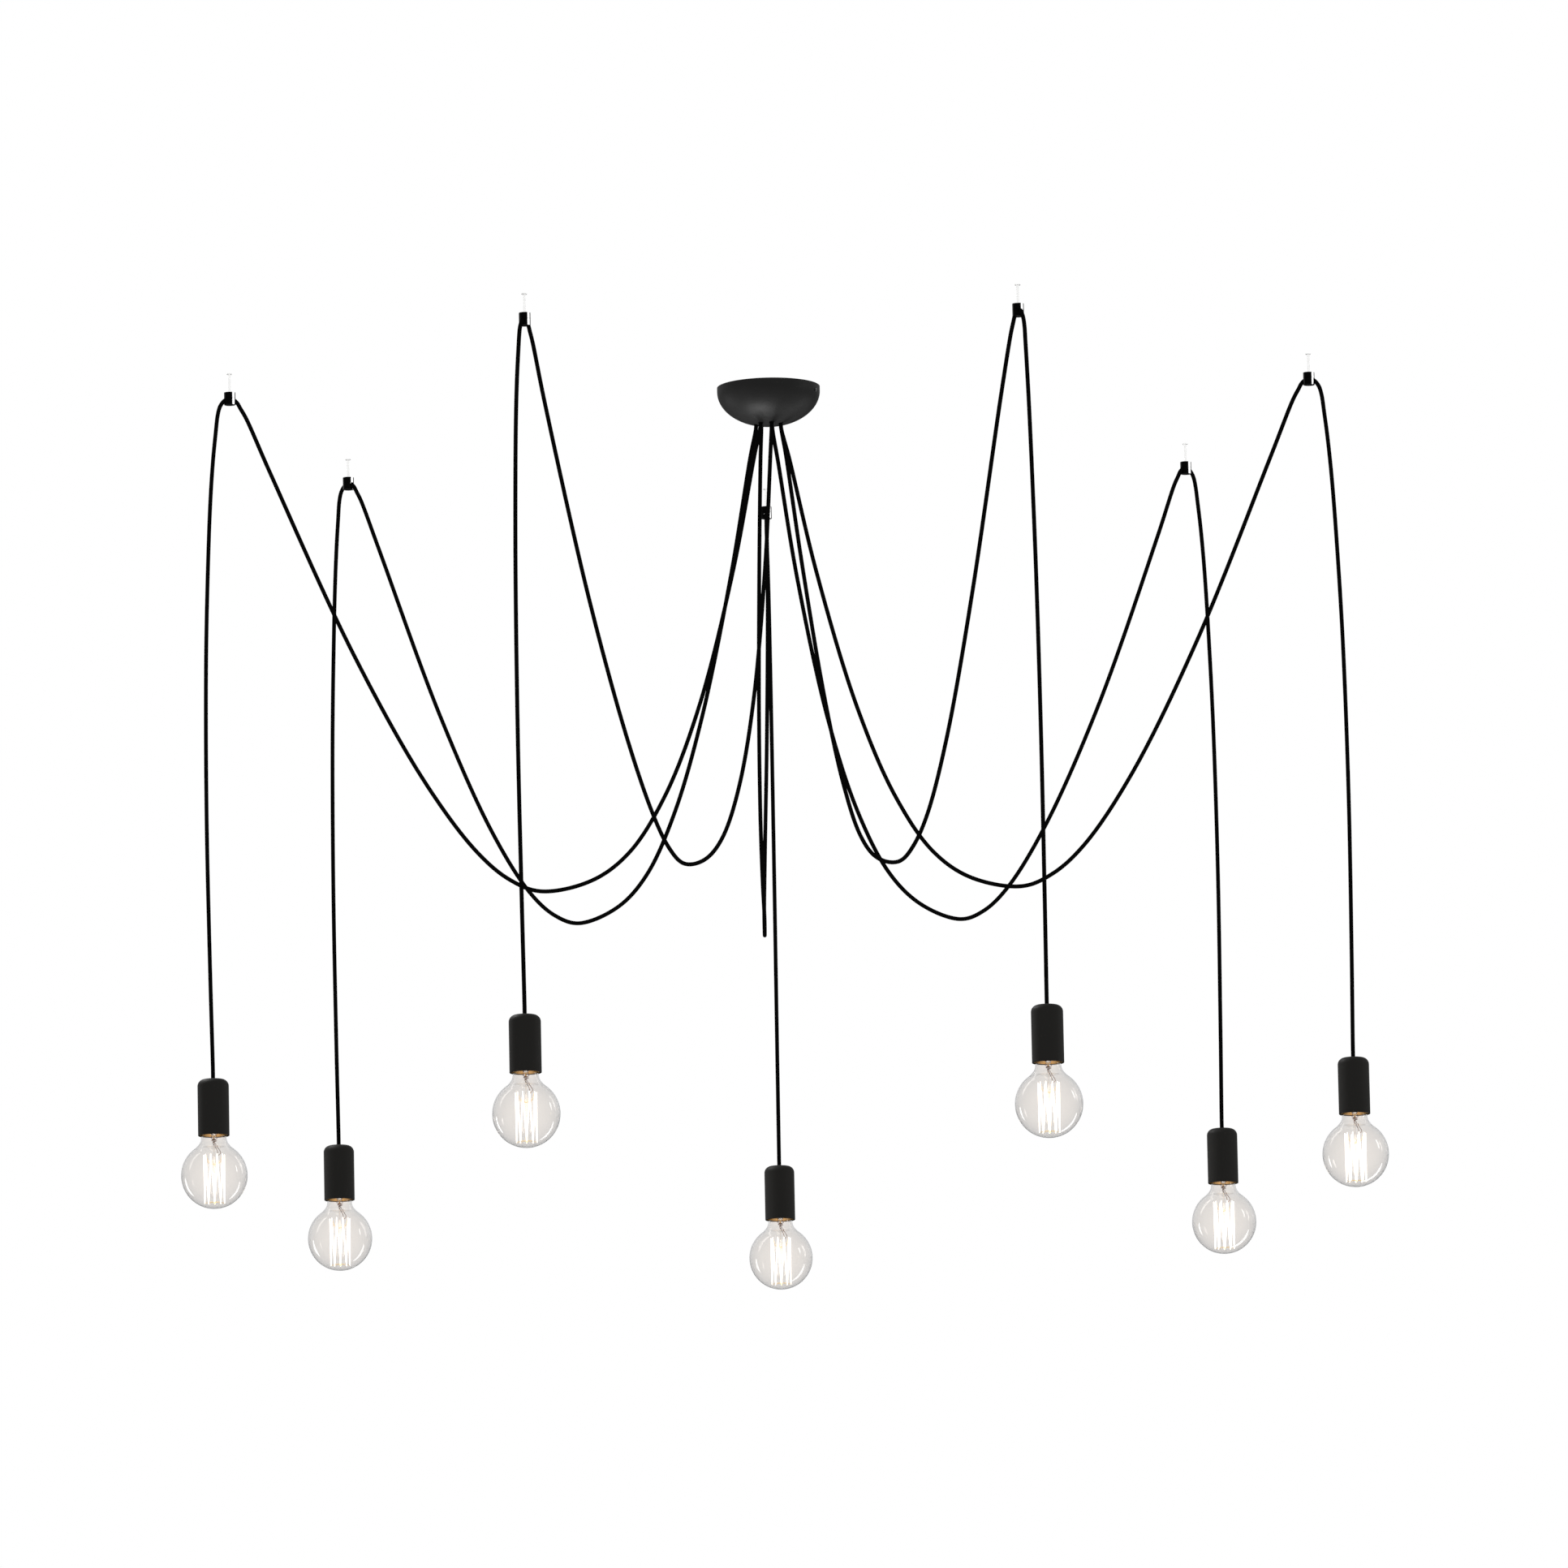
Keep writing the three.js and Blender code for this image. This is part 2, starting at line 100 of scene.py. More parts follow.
def soft_lamp(name, place, size, watts, leaning=0):
    """An oval lamp that faces the middle of the light, leaning by so many degrees."""
    data = bpy.data.lights.new(name, "AREA")
    data.shape = "ELLIPSE"
    data.size, data.size_y = size
    data.energy = watts
    lamp = bpy.data.objects.new(name, data)
    bpy.context.collection.objects.link(lamp)
    lamp.visible_camera = False
    aim = Vector((0, 0, -1)) - Vector(place)
    lean = Matrix.Rotation(math.radians(leaning), 4, "Z")
    lamp.matrix_world = Matrix.Translation(place) @ aim.to_track_quat("-Z", "Y").to_matrix().to_4x4() @ lean
    return lamp


soft_lamp("strip_lamp", (4.2, -0.3, 0.3), (0.5, 1.6), 7)
soft_lamp("left_rim_lamp", (-4.2, 2.27, -2.3), (0.8, 2.6), 18, leaning=-18)
soft_lamp("right_rim_lamp", (3.4, 2.27, -3.9), (0.95, 4.6), 32, leaning=38)
low_lamp = soft_lamp("low_lamp", (-0.7, 0.45, -3.4), (1.1, 0.6), 80)
shoulder_lamp = soft_lamp("shoulder_lamp", (-2.4, 1.2, 2.0), (1.0, 1.0), 70)

room_light = 0.7
unlit_room = 0.04
backdrop_gloss = 0.5
backdrop_edge = 0.7
skyline_low, skyline_high = -0.12, 0.25
world = bpy.data.worlds.new("room")
world.use_nodes = True
bpy.context.scene.world = world
room = world.node_tree
room.nodes.clear()
path = add_node(room, "ShaderNodeLightPath")
way = add_node(room, "ShaderNodeTexCoord")
away = add_node(room, "ShaderNodeSeparateXYZ", {"Vector": way.outputs["Generated"]})
# Shiny surfaces mirror the backdrop only where it stands: behind the light and above the horizon.
backdrop = add_node(
    room, "ShaderNodeMapRange",
    {"Value": away.outputs["Y"], "From Max": backdrop_edge, "To Min": unlit_room, "To Max": backdrop_gloss},
    interpolation_type="SMOOTHSTEP",
)
skyward = add_node(
    room, "ShaderNodeMapRange",
    {"Value": away.outputs["Z"], "From Min": skyline_low, "From Max": skyline_high, "To Min": unlit_room},
    interpolation_type="SMOOTHSTEP",
)
mirrored = add_node(
    room, "ShaderNodeMath", {0: backdrop.outputs[0], 1: skyward.outputs[0]}, operation="MULTIPLY"
)
lit = add_node(
    room, "ShaderNodeMix",
    {"Factor": path.outputs["Is Glossy Ray"], "A": room_light, "B": mirrored.outputs[0]},
)
seen = add_node(
    room, "ShaderNodeMath",
    {0: path.outputs["Is Camera Ray"], 1: path.outputs["Is Transmission Ray"]}, operation="MAXIMUM",
)
strength = add_node(room, "ShaderNodeMix", {"Factor": seen.outputs[0], "A": lit.outputs[0], "B": 1.0})
back = add_node(room, "ShaderNodeBackground", {"Color": (1, 1, 1, 1), "Strength": strength.outputs[0]})
add_node(room, "ShaderNodeOutputWorld", {"Surface": back.outputs[0]})

floor_drop = 6.5
floor_reach = 30
floor_white = 0.95
unlit_floor = 0.06
bpy.ops.mesh.primitive_circle_add(
    vertices=96, radius=floor_reach, fill_type="NGON", location=(0, 0, -floor_drop)
)
floor = bpy.context.object
floor.name = "floor"
plaster = bpy.data.materials.new("white_painted_floor")
plaster.use_nodes = True
tree = plaster.node_tree
tree.nodes.clear()
# It is all white through glass and nearly so to the camera, dim in reflections and matt for all else.
path = add_node(tree, "ShaderNodeLightPath")
matte = add_node(tree, "ShaderNodeBsdfDiffuse", {"Color": colour("#f4f4f2")})
white = add_node(tree, "ShaderNodeEmission", {"Color": (1, 1, 1, 1), "Strength": 1.0})
dim = add_node(tree, "ShaderNodeEmission", {"Color": (1, 1, 1, 1), "Strength": unlit_floor})
unseen = add_node(
    tree, "ShaderNodeMixShader",
    {0: path.outputs["Is Glossy Ray"], 1: matte.outputs[0], 2: dim.outputs[0]},
)
share = add_node(
    tree, "ShaderNodeMath",
    {0: path.outputs["Is Camera Ray"], 1: floor_white, 2: path.outputs["Is Transmission Ray"]},
    operation="MULTIPLY_ADD",
)
mixed = add_node(
    tree, "ShaderNodeMixShader", {0: share.outputs[0], 1: unseen.outputs[0], 2: white.outputs[0]}
)
add_node(tree, "ShaderNodeOutputMaterial", {"Surface": mixed.outputs[0]})
floor.data.materials.append(plaster)

# Canopy dome
# A bowl spun from 1.2 mm steel sheet with a short upright lip. Seven plain holes in its floor let the
# cords out, and two screws through its wall hold it to the ceiling bracket.

dome_radius = 75 * MM
dome_lip = 6 * MM
dome_bowl = 51 * MM
dome_wall = 1.2 * MM
exit_circle = 19 * MM
exit_turn = math.radians(36.5)
exit_hole = 3.6 * MM
strap_turn = math.radians(-24)
side_screw_drop = 10.5 * MM
small_screw_hole = 1.9 * MM
side_reach = 80 * MM


def start_material(name):
    """A material with only its output and a Principled shader."""
    made = bpy.data.materials.new(name)
    made.use_nodes = True
    shader = made.node_tree.nodes["Principled BSDF"]
    return made, made.node_tree, shader


def arc(wide, tall, height, start, end, steps):
    """Points (radius, height) of an oval arc, its angles measured from straight up."""
    angles = [start + (end - start) * i / steps for i in range(steps + 1)]
    return [(wide * math.sin(angle), height + tall * math.cos(angle)) for angle in angles]


def draw(name, points):
    """A line of edges through the points, drawn by extruding one corner from each to the next."""
    bpy.ops.object.select_all(action="DESELECT")
    bpy.ops.mesh.primitive_plane_add(size=MM)
    piece = bpy.context.object
    piece.name = piece.data.name = name
    bpy.ops.object.mode_set(mode="EDIT")
    bpy.ops.mesh.merge(type="CENTER")
    bpy.ops.transform.translate(value=points[0])
    for here, there in zip(points, points[1:]):
        step = Vector(there) - Vector(here)
        bpy.ops.mesh.extrude_vertices_move(TRANSFORM_OT_translate={"value": step})
    return piece


def turned(name, profile, sides):
    """A piece turned on a lathe from a profile of (radius, height) points."""
    piece = draw(name, [(out, 0, height) for out, height in profile])
    bpy.ops.mesh.select_all(action="SELECT")
    bpy.ops.mesh.spin(steps=sides, angle=2 * math.pi, center=(0, 0, 0), axis=(0, 0, 1))
    bpy.ops.mesh.select_all(action="SELECT")
    bpy.ops.mesh.remove_doubles(threshold=0.01 * MM)
    bpy.ops.mesh.normals_make_consistent(inside=False)
    bpy.ops.object.mode_set(mode="OBJECT")
    return piece


def finish_with(piece, kind, **settings):
    """Gives a piece one modifier and applies it."""
    made = piece.modifiers.new(kind.lower(), kind)
    for name, value in settings.items():
        setattr(made, name, value)
    bpy.ops.object.select_all(action="DESELECT")
    piece.select_set(True)
    bpy.context.view_layer.objects.active = piece
    bpy.ops.object.modifier_apply(modifier=made.name)


def carve(piece, *tools):
    """Cuts each tool out of a piece and throws it away."""
    for tool in tools:
        finish_with(piece, "BOOLEAN", object=tool, operation="DIFFERENCE", solver="EXACT")
        bpy.data.objects.remove(tool)


def soften(piece, width):
    """Rounds a piece's edges a little and shades all but its sharp corners smooth."""
    limit = math.radians(40)
    finish_with(piece, "BEVEL", width=width, segments=2, angle_limit=limit, harden_normals=False)
    bpy.ops.object.shade_smooth_by_angle(angle=limit)
    finish_with(piece, "WEIGHTED_NORMAL", keep_sharp=True)


def bar(radius, low, high, matrix=Matrix()):
    """A round bar along Z, moved by a matrix."""
    bpy.ops.object.select_all(action="DESELECT")
    bpy.ops.mesh.primitive_cylinder_add(vertices=32, radius=radius, depth=high - low)
    made = bpy.context.object
    made.data.transform(matrix @ Matrix.Translation((0, 0, (low + high) / 2)))
    return made


def dress(piece, material, body, slot, *nodes):
    """Gives a finished piece its material and body, and hides the CAD nodes it stands for. Slot is not used.
    """
    piece.data.materials.clear()
    piece.data.materials.append(material)
    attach(piece, body)
    if nodes:
        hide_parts(*nodes)


def arm_turn(number):
    """Turn about the upright axis that brings the model's +X to an arm."""
    return Matrix.Rotation(math.pi / 2 + 2 * math.pi * (number - 1) / len(ARMS), 4, "Z")


def exit_place(number):
    """Moves an upright tool to the hole where an arm's cord leaves the canopy."""
    out, aside = exit_circle * math.cos(exit_turn), exit_circle * math.sin(exit_turn)
    return arm_turn(number) @ Matrix.Translation((out, aside, 0))


def flag_off_all_but(lamp, *pieces):
    """Keeps a lamp's light off everything but these pieces, as flags on stands do."""
    lit = bpy.data.collections.new(f"lit_by_{lamp.name}")
    for piece in pieces:
        lit.objects.link(piece)
    lamp.light_linking.receiver_collection = lit


powder, tree, shader = start_material("powder_coated_steel")
# Baked powder leaves a satin skin, a little lighter where it lies thin. Its orange-peel grain is drawn
# at 2.4 mm, about twice its real size, so that it shows as a speckle in the highlight.
place = add_node(tree, "ShaderNodeTexCoord")
grain = add_node(
    tree, "ShaderNodeTexNoise", {"Vector": place.outputs["Object"], "Scale": 1 / (2.4 * MM), "Detail": 2}
)
cloud = add_node(
    tree, "ShaderNodeTexNoise", {"Vector": place.outputs["Object"], "Scale": 1 / (45 * MM), "Detail": 2}
)
tint = add_node(tree, "ShaderNodeMix", {"Factor": cloud.outputs["Fac"]}, data_type="RGBA")
tint.inputs["A"].default_value = colour("#262626")
tint.inputs["B"].default_value = colour("#2a2a2a")
tree.links.new(tint.outputs["Result"], shader.inputs["Base Color"])
rough = add_node(tree, "ShaderNodeMapRange", {"Value": grain.outputs["Fac"], "To Min": 0.4, "To Max": 0.55})
tree.links.new(rough.outputs["Result"], shader.inputs["Roughness"])
peel = add_node(
    tree, "ShaderNodeBump", {"Height": grain.outputs["Fac"], "Strength": 0.8, "Distance": 0.2 * MM}
)
tree.links.new(peel.outputs["Normal"], shader.inputs["Normal"])
shader.inputs["Specular IOR Level"].default_value = 0.2

outside = arc(dome_radius, -dome_bowl, -dome_lip, 0, math.pi / 2, 48)
inside = arc(dome_radius - dome_wall, dome_wall - dome_bowl, -dome_lip, math.pi / 2, 0, 48)
rim = [(dome_radius, 0), (dome_radius - dome_wall, 0)]
dome = turned("canopy_dome_shell", [*outside, *rim, *inside, outside[0]], 160)
strap_matrix = Matrix.Rotation(strap_turn, 4, "Z")
side_line = strap_matrix @ Matrix.Translation((0, 0, -side_screw_drop))
side_line = side_line @ Matrix.Rotation(math.pi / 2, 4, "Y")
tools = [bar(exit_hole, -60 * MM, -46 * MM, exit_place(number)) for number in ARMS]
tools += [bar(small_screw_hole, -side_reach, side_reach, side_line)]
carve(dome, *tools)
soften(dome, 0.2 * MM)
dress(dome, powder, "root", "powder_coat", "canopy_dome")
flag_off_all_but(low_lamp, dome)

# Screws
# Zinc-plated steel screws with pan heads and cross recesses: two hold the dome to the bracket's tabs, two
# go up into the ceiling, one holds the terminal block and one clamps the cord grip.

zinc, tree, shader = start_material("zinc_plated_steel")
# A thin bright plating, clouded in patches and finely drawn.
place = add_node(tree, "ShaderNodeTexCoord")
cloud = add_node(
    tree, "ShaderNodeTexNoise", {"Vector": place.outputs["Object"], "Scale": 1 / (9 * MM), "Detail": 4}
)
tint = add_node(tree, "ShaderNodeMix", {"Factor": cloud.outputs["Fac"]}, data_type="RGBA")
tint.inputs["A"].default_value = colour("#b4b7ba")
tint.inputs["B"].default_value = colour("#cfd0cd")
tree.links.new(tint.outputs["Result"], shader.inputs["Base Color"])
rough = add_node(
    tree, "ShaderNodeMapRange", {"Value": cloud.outputs["Fac"], "To Min": 0.25, "To Max": 0.45}
)
tree.links.new(rough.outputs["Result"], shader.inputs["Roughness"])
shader.inputs["Metallic"].default_value = 1.0


def block(size, place, matrix=Matrix()):
    """A box of three sizes about a place, moved by a matrix."""
    bpy.ops.object.select_all(action="DESELECT")
    bpy.ops.mesh.primitive_cube_add(size=1)
    made = bpy.context.object
    made.data.transform(matrix @ Matrix.Translation(place) @ Matrix.Diagonal((*size, 1)))
    return made


def copied(model, name, matrix):
    """A copy of a piece with a mesh of its own, moved within it."""
    made = bpy.data.objects.new(name, model.data.copy())
    made.data.name = name
    made.data.transform(matrix)
    bpy.context.collection.objects.link(made)
    return made


def wound(name, wave, pitch, low, high, sides, open_ends=False):
    """A screw thread: a wave of (radius, share of the pitch) points wound upwards and cut off flat.

    Every thread of one pitch is in step with the others, so a screw's crests meet its nut's roots.
    """
    first = pitch * (math.floor(low / pitch) - 1)
    turns = math.ceil((high - first) / pitch) + 1
    piece = draw(name, [(radius, 0, first + pitch * share) for radius, share in wave])
    bpy.ops.object.mode_set(mode="OBJECT")
    finish_with(
        piece, "SCREW", screw_offset=pitch, iterations=turns, steps=sides, render_steps=sides,
        use_merge_vertices=True, merge_threshold=0.01 * MM,
    )
    bpy.ops.object.mode_set(mode="EDIT")
    for height, keep_above in ((low, True), (high, False)):
        bpy.ops.mesh.select_all(action="SELECT")
        bpy.ops.mesh.bisect(
            plane_co=(0, 0, height), plane_no=(0, 0, 1), use_fill=not open_ends,
            clear_inner=keep_above, clear_outer=not keep_above,
        )
    bpy.ops.mesh.select_all(action="SELECT")
    bpy.ops.mesh.normals_make_consistent(inside=False)
    bpy.ops.object.mode_set(mode="OBJECT")
    return piece


def joined(name, *parts):
    """Several meshes made one piece."""
    bpy.ops.object.select_all(action="DESELECT")
    for part in parts:
        part.select_set(True)
    bpy.context.view_layer.objects.active = parts[0]
    bpy.ops.object.join()
    piece = bpy.context.object
    piece.name = piece.data.name = name
    return piece


def pan_head_screw(name, shank, head, head_tall, length):
    """A screw that points up: its head's seat at height zero, its threaded shank above."""
    dome_part = arc(head, head_tall * 0.7, -head_tall * 0.3, math.pi, math.pi / 2, 8)
    cap = turned(f"{name}_head", [*dome_part, (head, 0), (0, 0), dome_part[0]], 32)
    for turn in (0, math.pi / 2):
        slot_size = (head * 1.1, head * 0.24, head_tall)
        carve(cap, block(slot_size, (0, 0, -head_tall), Matrix.Rotation(turn, 4, "Z")))
    soften(cap, 0.1 * MM)
    root = shank * 0.78
    ridge = [(root, 0), (shank, 0.5), (root, 1)]
    thread = wound(f"{name}_shank", ridge, shank * 0.4, -0.05 * MM, length, 20)
    return joined(name, cap, thread)


pan_screws = {
    "side_screw": pan_head_screw("side_screw", 1.5 * MM, 2.4 * MM, 1.8 * MM, 9 * MM),
    "ceiling_screw": pan_head_screw("ceiling_screw", 2 * MM, 4.2 * MM, 2.6 * MM, 2.3 * MM),
    "terminal_screw": pan_head_screw("terminal_screw", 1.5 * MM, 2.8 * MM, 1.6 * MM, 16 * MM),
    "grip_screw": pan_head_screw("grip_screw", 2 * MM, 3.8 * MM, 2.4 * MM, 10.5 * MM),
}
side_seat = 74.8 * MM
ceiling_seat = -2.3 * MM
terminal_seat = -16.6 * MM
grip_seat = -41.4 * MM


def middle(node):
    """The middle of a CAD node's box."""
    low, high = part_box(node)
    return (low + high) / 2


def seat_screw(kind, node, matrix):
    """Puts a copy of a screw where its CAD node is."""
    dress(copied(pan_screws[kind], f"{node}_fastener", matrix), zinc, "root", "zinc_steel", node)


for side, turn in ((1, 0), (2, math.pi)):
    out = Matrix.Rotation(strap_turn + turn, 4, "Z") @ Matrix.Translation((side_seat, 0, -side_screw_drop))
    seat_screw("side_screw", f"side_screw_{side}", out @ Matrix.Rotation(-math.pi / 2, 4, "Y"))
    spot = middle(f"ceiling_screw_{side}")
    seat_screw("ceiling_screw", f"ceiling_screw_{side}", Matrix.Translation((spot.x, spot.y, ceiling_seat)))
spot = middle("terminal_screw")
seat_screw("terminal_screw", "terminal_screw", Matrix.Translation((spot.x, spot.y, terminal_seat)))
pointing_down = Matrix.Rotation(math.pi, 4, "X")
seat_screw("grip_screw", "grip_screw", Matrix.Translation((0, 0, grip_seat)) @ pointing_down)
for model in pan_screws.values():
    bpy.data.objects.remove(model)

# Ceiling bracket
# A strap of 2 mm zinc-plated steel, pressed with a tab bent down at each end and two slots for the
# ceiling screws. The terminal block is screwed up against it.

strap_width = 18 * MM
strap_thick = 2 * MM
tab_depth = 17 * MM
bend_outside = 4 * MM
strap_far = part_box("ceiling_bracket")[1].x
tab_reach = (strap_far - strap_width / 2 * math.sin(-strap_turn)) / math.cos(strap_turn)
corner = arc(bend_outside, bend_outside, -bend_outside, math.pi / 2, 0, 8)
right_side = [(tab_reach - bend_outside + out, height) for out, height in corner]
right_side = [(tab_reach, -tab_depth), *right_side]
left_side = [(-out, height) for out, height in reversed(right_side)]
near_edge = [(out, -strap_width / 2, height) for out, height in right_side + left_side]
bracket = draw("ceiling_bracket_strap", near_edge)
bpy.ops.mesh.select_all(action="SELECT")
bpy.ops.mesh.extrude_edges_move(TRANSFORM_OT_translate={"value": (0, strap_width, 0)})
bpy.ops.mesh.select_all(action="SELECT")
bpy.ops.mesh.normals_make_consistent(inside=False)
bpy.ops.object.mode_set(mode="OBJECT")
upwards = sum((face.normal.z for face in bracket.data.polygons), 0.0) > 0
finish_with(bracket, "SOLIDIFY", thickness=strap_thick, offset=-1 if upwards else 1)
slot_half = 4.6 * MM
slot_radius = 2.4 * MM
slots = []
for side in (1, 2):
    spot = strap_matrix.inverted() @ middle(f"ceiling_screw_{side}")
    spot.z = 0
    slots += [
        bar(slot_radius, -5 * MM, 5 * MM, Matrix.Translation(spot + Vector((shift, 0, 0))))
        for shift in (-slot_half, slot_half)
    ]
    slots += [block((2 * slot_half, 2 * slot_radius, 10 * MM), spot)]
tab_line = Matrix.Translation((0, 0, -side_screw_drop)) @ Matrix.Rotation(math.pi / 2, 4, "Y")
carve(bracket, *slots, bar(small_screw_hole, -side_reach, side_reach, tab_line))
soften(bracket, 0.3 * MM)
bracket.data.transform(strap_matrix)
dress(bracket, zinc, "root", "zinc_steel", "ceiling_bracket")

# Terminal block
# Three brass poles in a moulded body of natural nylon, joined by short webs. Each pole has a through
# bore for the conductors and two clamping screws that are reached from below.

nylon, tree, shader = start_material("natural_nylon")
# A milky plastic that lets a little light in, with a faint moulded grain.
place = add_node(tree, "ShaderNodeTexCoord")
grain = add_node(tree, "ShaderNodeTexNoise", {"Vector": place.outputs["Object"], "Scale": 1 / (0.8 * MM)})
rough = add_node(tree, "ShaderNodeMapRange", {"Value": grain.outputs["Fac"], "To Min": 0.4, "To Max": 0.55})
tree.links.new(rough.outputs["Result"], shader.inputs["Roughness"])
skin = add_node(
    tree, "ShaderNodeBump", {"Height": grain.outputs["Fac"], "Strength": 0.2, "Distance": 0.03 * MM}
)
tree.links.new(skin.outputs["Normal"], shader.inputs["Normal"])
shader.inputs["Base Color"].default_value = colour("#e6e3da")
shader.inputs["Subsurface Weight"].default_value = 0.1
shader.inputs["Subsurface Scale"].default_value = 1 * MM

brass, tree, shader = start_material("drawn_brass")
# Warm yellow metal with faint cloudy tarnish.
place = add_node(tree, "ShaderNodeTexCoord")
tarnish = add_node(
    tree, "ShaderNodeTexNoise", {"Vector": place.outputs["Object"], "Scale": 1 / (6 * MM), "Detail": 4}
)
tint = add_node(tree, "ShaderNodeMix", {"Factor": tarnish.outputs["Fac"]}, data_type="RGBA")
tint.inputs["A"].default_value = colour("#c8a050")
tint.inputs["B"].default_value = colour("#dcc07c")
tree.links.new(tint.outputs["Result"], shader.inputs["Base Color"])
rough = add_node(
    tree, "ShaderNodeMapRange", {"Value": tarnish.outputs["Fac"], "To Min": 0.2, "To Max": 0.4}
)
tree.links.new(rough.outputs["Result"], shader.inputs["Roughness"])
shader.inputs["Metallic"].default_value = 1.0

pole_pitch = 12 * MM
block_depth = 18 * MM
block_tall = 14 * MM
block_middle = -9.3 * MM
half_pole = 8 * MM
pole_wall = 0.4 * MM
wire_bore = 2 * MM
well_place = 5.5 * MM
well_radius = 2.2 * MM
well_floor = -12.5 * MM
clamp_radius = 1.9 * MM
clamp_low = -15.2 * MM
clamp_high = -11.6 * MM
notch = 1.2 * MM
poles = [-pole_pitch, 0, pole_pitch]
body = block((3 * pole_pitch, block_depth, block_tall), (0, 0, block_middle))
body.name = body.data.name = "terminal_block_body"
along = Matrix.Rotation(math.pi / 2, 4, "X")
tools = [bar(small_screw_hole, -20 * MM, 0, Matrix.Translation((pole_pitch / 2, 0, 0)))]
for x in (-pole_pitch / 2, pole_pitch / 2):
    for y in (-block_depth / 2, block_depth / 2):
        tools += [block((notch, 5 * MM, 20 * MM), (x, y, block_middle))]
for x in poles:
    pole_line = Matrix.Translation((x, 0, block_middle)) @ along
    tools += [bar(wire_bore + 0.5 * MM, -20 * MM, 20 * MM, pole_line)]
    for y in (-well_place, well_place):
        tools += [bar(well_radius, -20 * MM, well_floor, Matrix.Translation((x, y, 0)))]
carve(body, *tools)
soften(body, 0.35 * MM)
body.data.transform(strap_matrix)
dress(body, nylon, "root", "pale_nylon", "terminal_block")
lining = turned(
    "pole",
    [(wire_bore, -half_pole), (wire_bore + pole_wall, -half_pole), (wire_bore + pole_wall, half_pole),
     (wire_bore, half_pole), (wire_bore, -half_pole)],
    32,
)
soften(lining, 0.08 * MM)
clamp = turned(
    "clamp_screw",
    [(0, clamp_low), (clamp_radius, clamp_low), (clamp_radius, clamp_high), (0, clamp_high)],
    24,
)
carve(clamp, block((4 * MM, 0.6 * MM, 1.6 * MM), (0, 0, clamp_low)))
soften(clamp, 0.1 * MM)
for count, x in enumerate(poles, 1):
    pole_place = strap_matrix @ Matrix.Translation((x, 0, block_middle)) @ along
    dress(copied(lining, f"terminal_pole_{count}", pole_place), brass, "root", "brass")
    for end, y in ((1, -well_place), (2, well_place)):
        screw_place = strap_matrix @ Matrix.Translation((x, y, 0))
        dress(copied(clamp, f"clamp_screw_{count}_{end}", screw_place), brass, "root", "brass")
bpy.data.objects.remove(lining)
bpy.data.objects.remove(clamp)

# Cord grip
# Two discs of moulded nylon on the dome's floor. The seven cords come up through the base, the cover
# clamps their sheaths, and only their conductors go on through it.

grip_radius = 27 * MM
grip_top = -46 * MM
cover_low = -45.7 * MM
cover_high = -41.7 * MM
cover_step = 2 * MM
cover_slope = 1.5 * MM
grip_hole = 2.3 * MM
grip_hole_floor = -54 * MM
cord_bore = 3.4 * MM
pair_bore = 2.2 * MM
dome_inside = dome_bowl - dome_wall


def dome_floor(out):
    """Height of the dome's inner surface, a little lifted."""
    share = out / (dome_radius - dome_wall)
    return -dome_lip - dome_inside * math.sqrt(1 - share * share) + 0.4 * MM


floor_line = [(grip_radius * share / 8, dome_floor(grip_radius * share / 8)) for share in range(9)]
grip_base = turned("cord_grip_base_disc", [*floor_line, (grip_radius, grip_top), (0, grip_top)], 96)
grip_cover = turned(
    "cord_grip_cover_disc",
    [(0, cover_low), (grip_radius, cover_low), (grip_radius, cover_low + cover_step),
     (grip_radius - cover_slope, cover_high), (0, cover_high)],
    96,
)
bores = [bar(cord_bore, -60 * MM, -40 * MM, exit_place(number)) for number in ARMS]
carve(grip_base, bar(grip_hole, grip_hole_floor, -40 * MM), *bores)
bores = [bar(pair_bore, -50 * MM, -40 * MM, exit_place(number)) for number in ARMS]
carve(grip_cover, bar(grip_hole, -50 * MM, -40 * MM), *bores)
for disc, node in ((grip_base, "cord_grip_base"), (grip_cover, "cord_grip_cover")):
    soften(disc, 0.3 * MM)
    dress(disc, nylon, "root", "pale_nylon", node)

# Conductors
# Two insulated copper conductors leave each cord above the grip, a brown and a blue one. All of one
# colour are crimped together into a ferrule that sits in a pole of the terminal block.

conductor_radius = 0.95 * MM


def smooth_line(points, step):
    """Points every step or less along a smooth curve through the given ones."""
    ends = [2 * points[0] - points[1], *points, 2 * points[-1] - points[-2]]
    knots = [0]
    for here, there in zip(ends, ends[1:]):
        knots.append(knots[-1] + (there - here).length ** 0.5)
    found = []
    for i in range(1, len(ends) - 2):
        a, b, c, d = ends[i - 1 : i + 3]
        ta, tb, tc, td = knots[i - 1 : i + 3]
        count = max(2, math.ceil((c - b).length / step))
        for k in range(count):
            t = tb + (tc - tb) * k / count
            ab = a.lerp(b, (t - ta) / (tb - ta))
            bc = b.lerp(c, (t - tb) / (tc - tb))
            cd = c.lerp(d, (t - tc) / (td - tc))
            abc = ab.lerp(bc, (t - ta) / (tc - ta))
            bcd = bc.lerp(cd, (t - tb) / (td - tb))
            found.append(abc.lerp(bcd, (t - tb) / (tc - tb)))
    return found + [points[-1]]


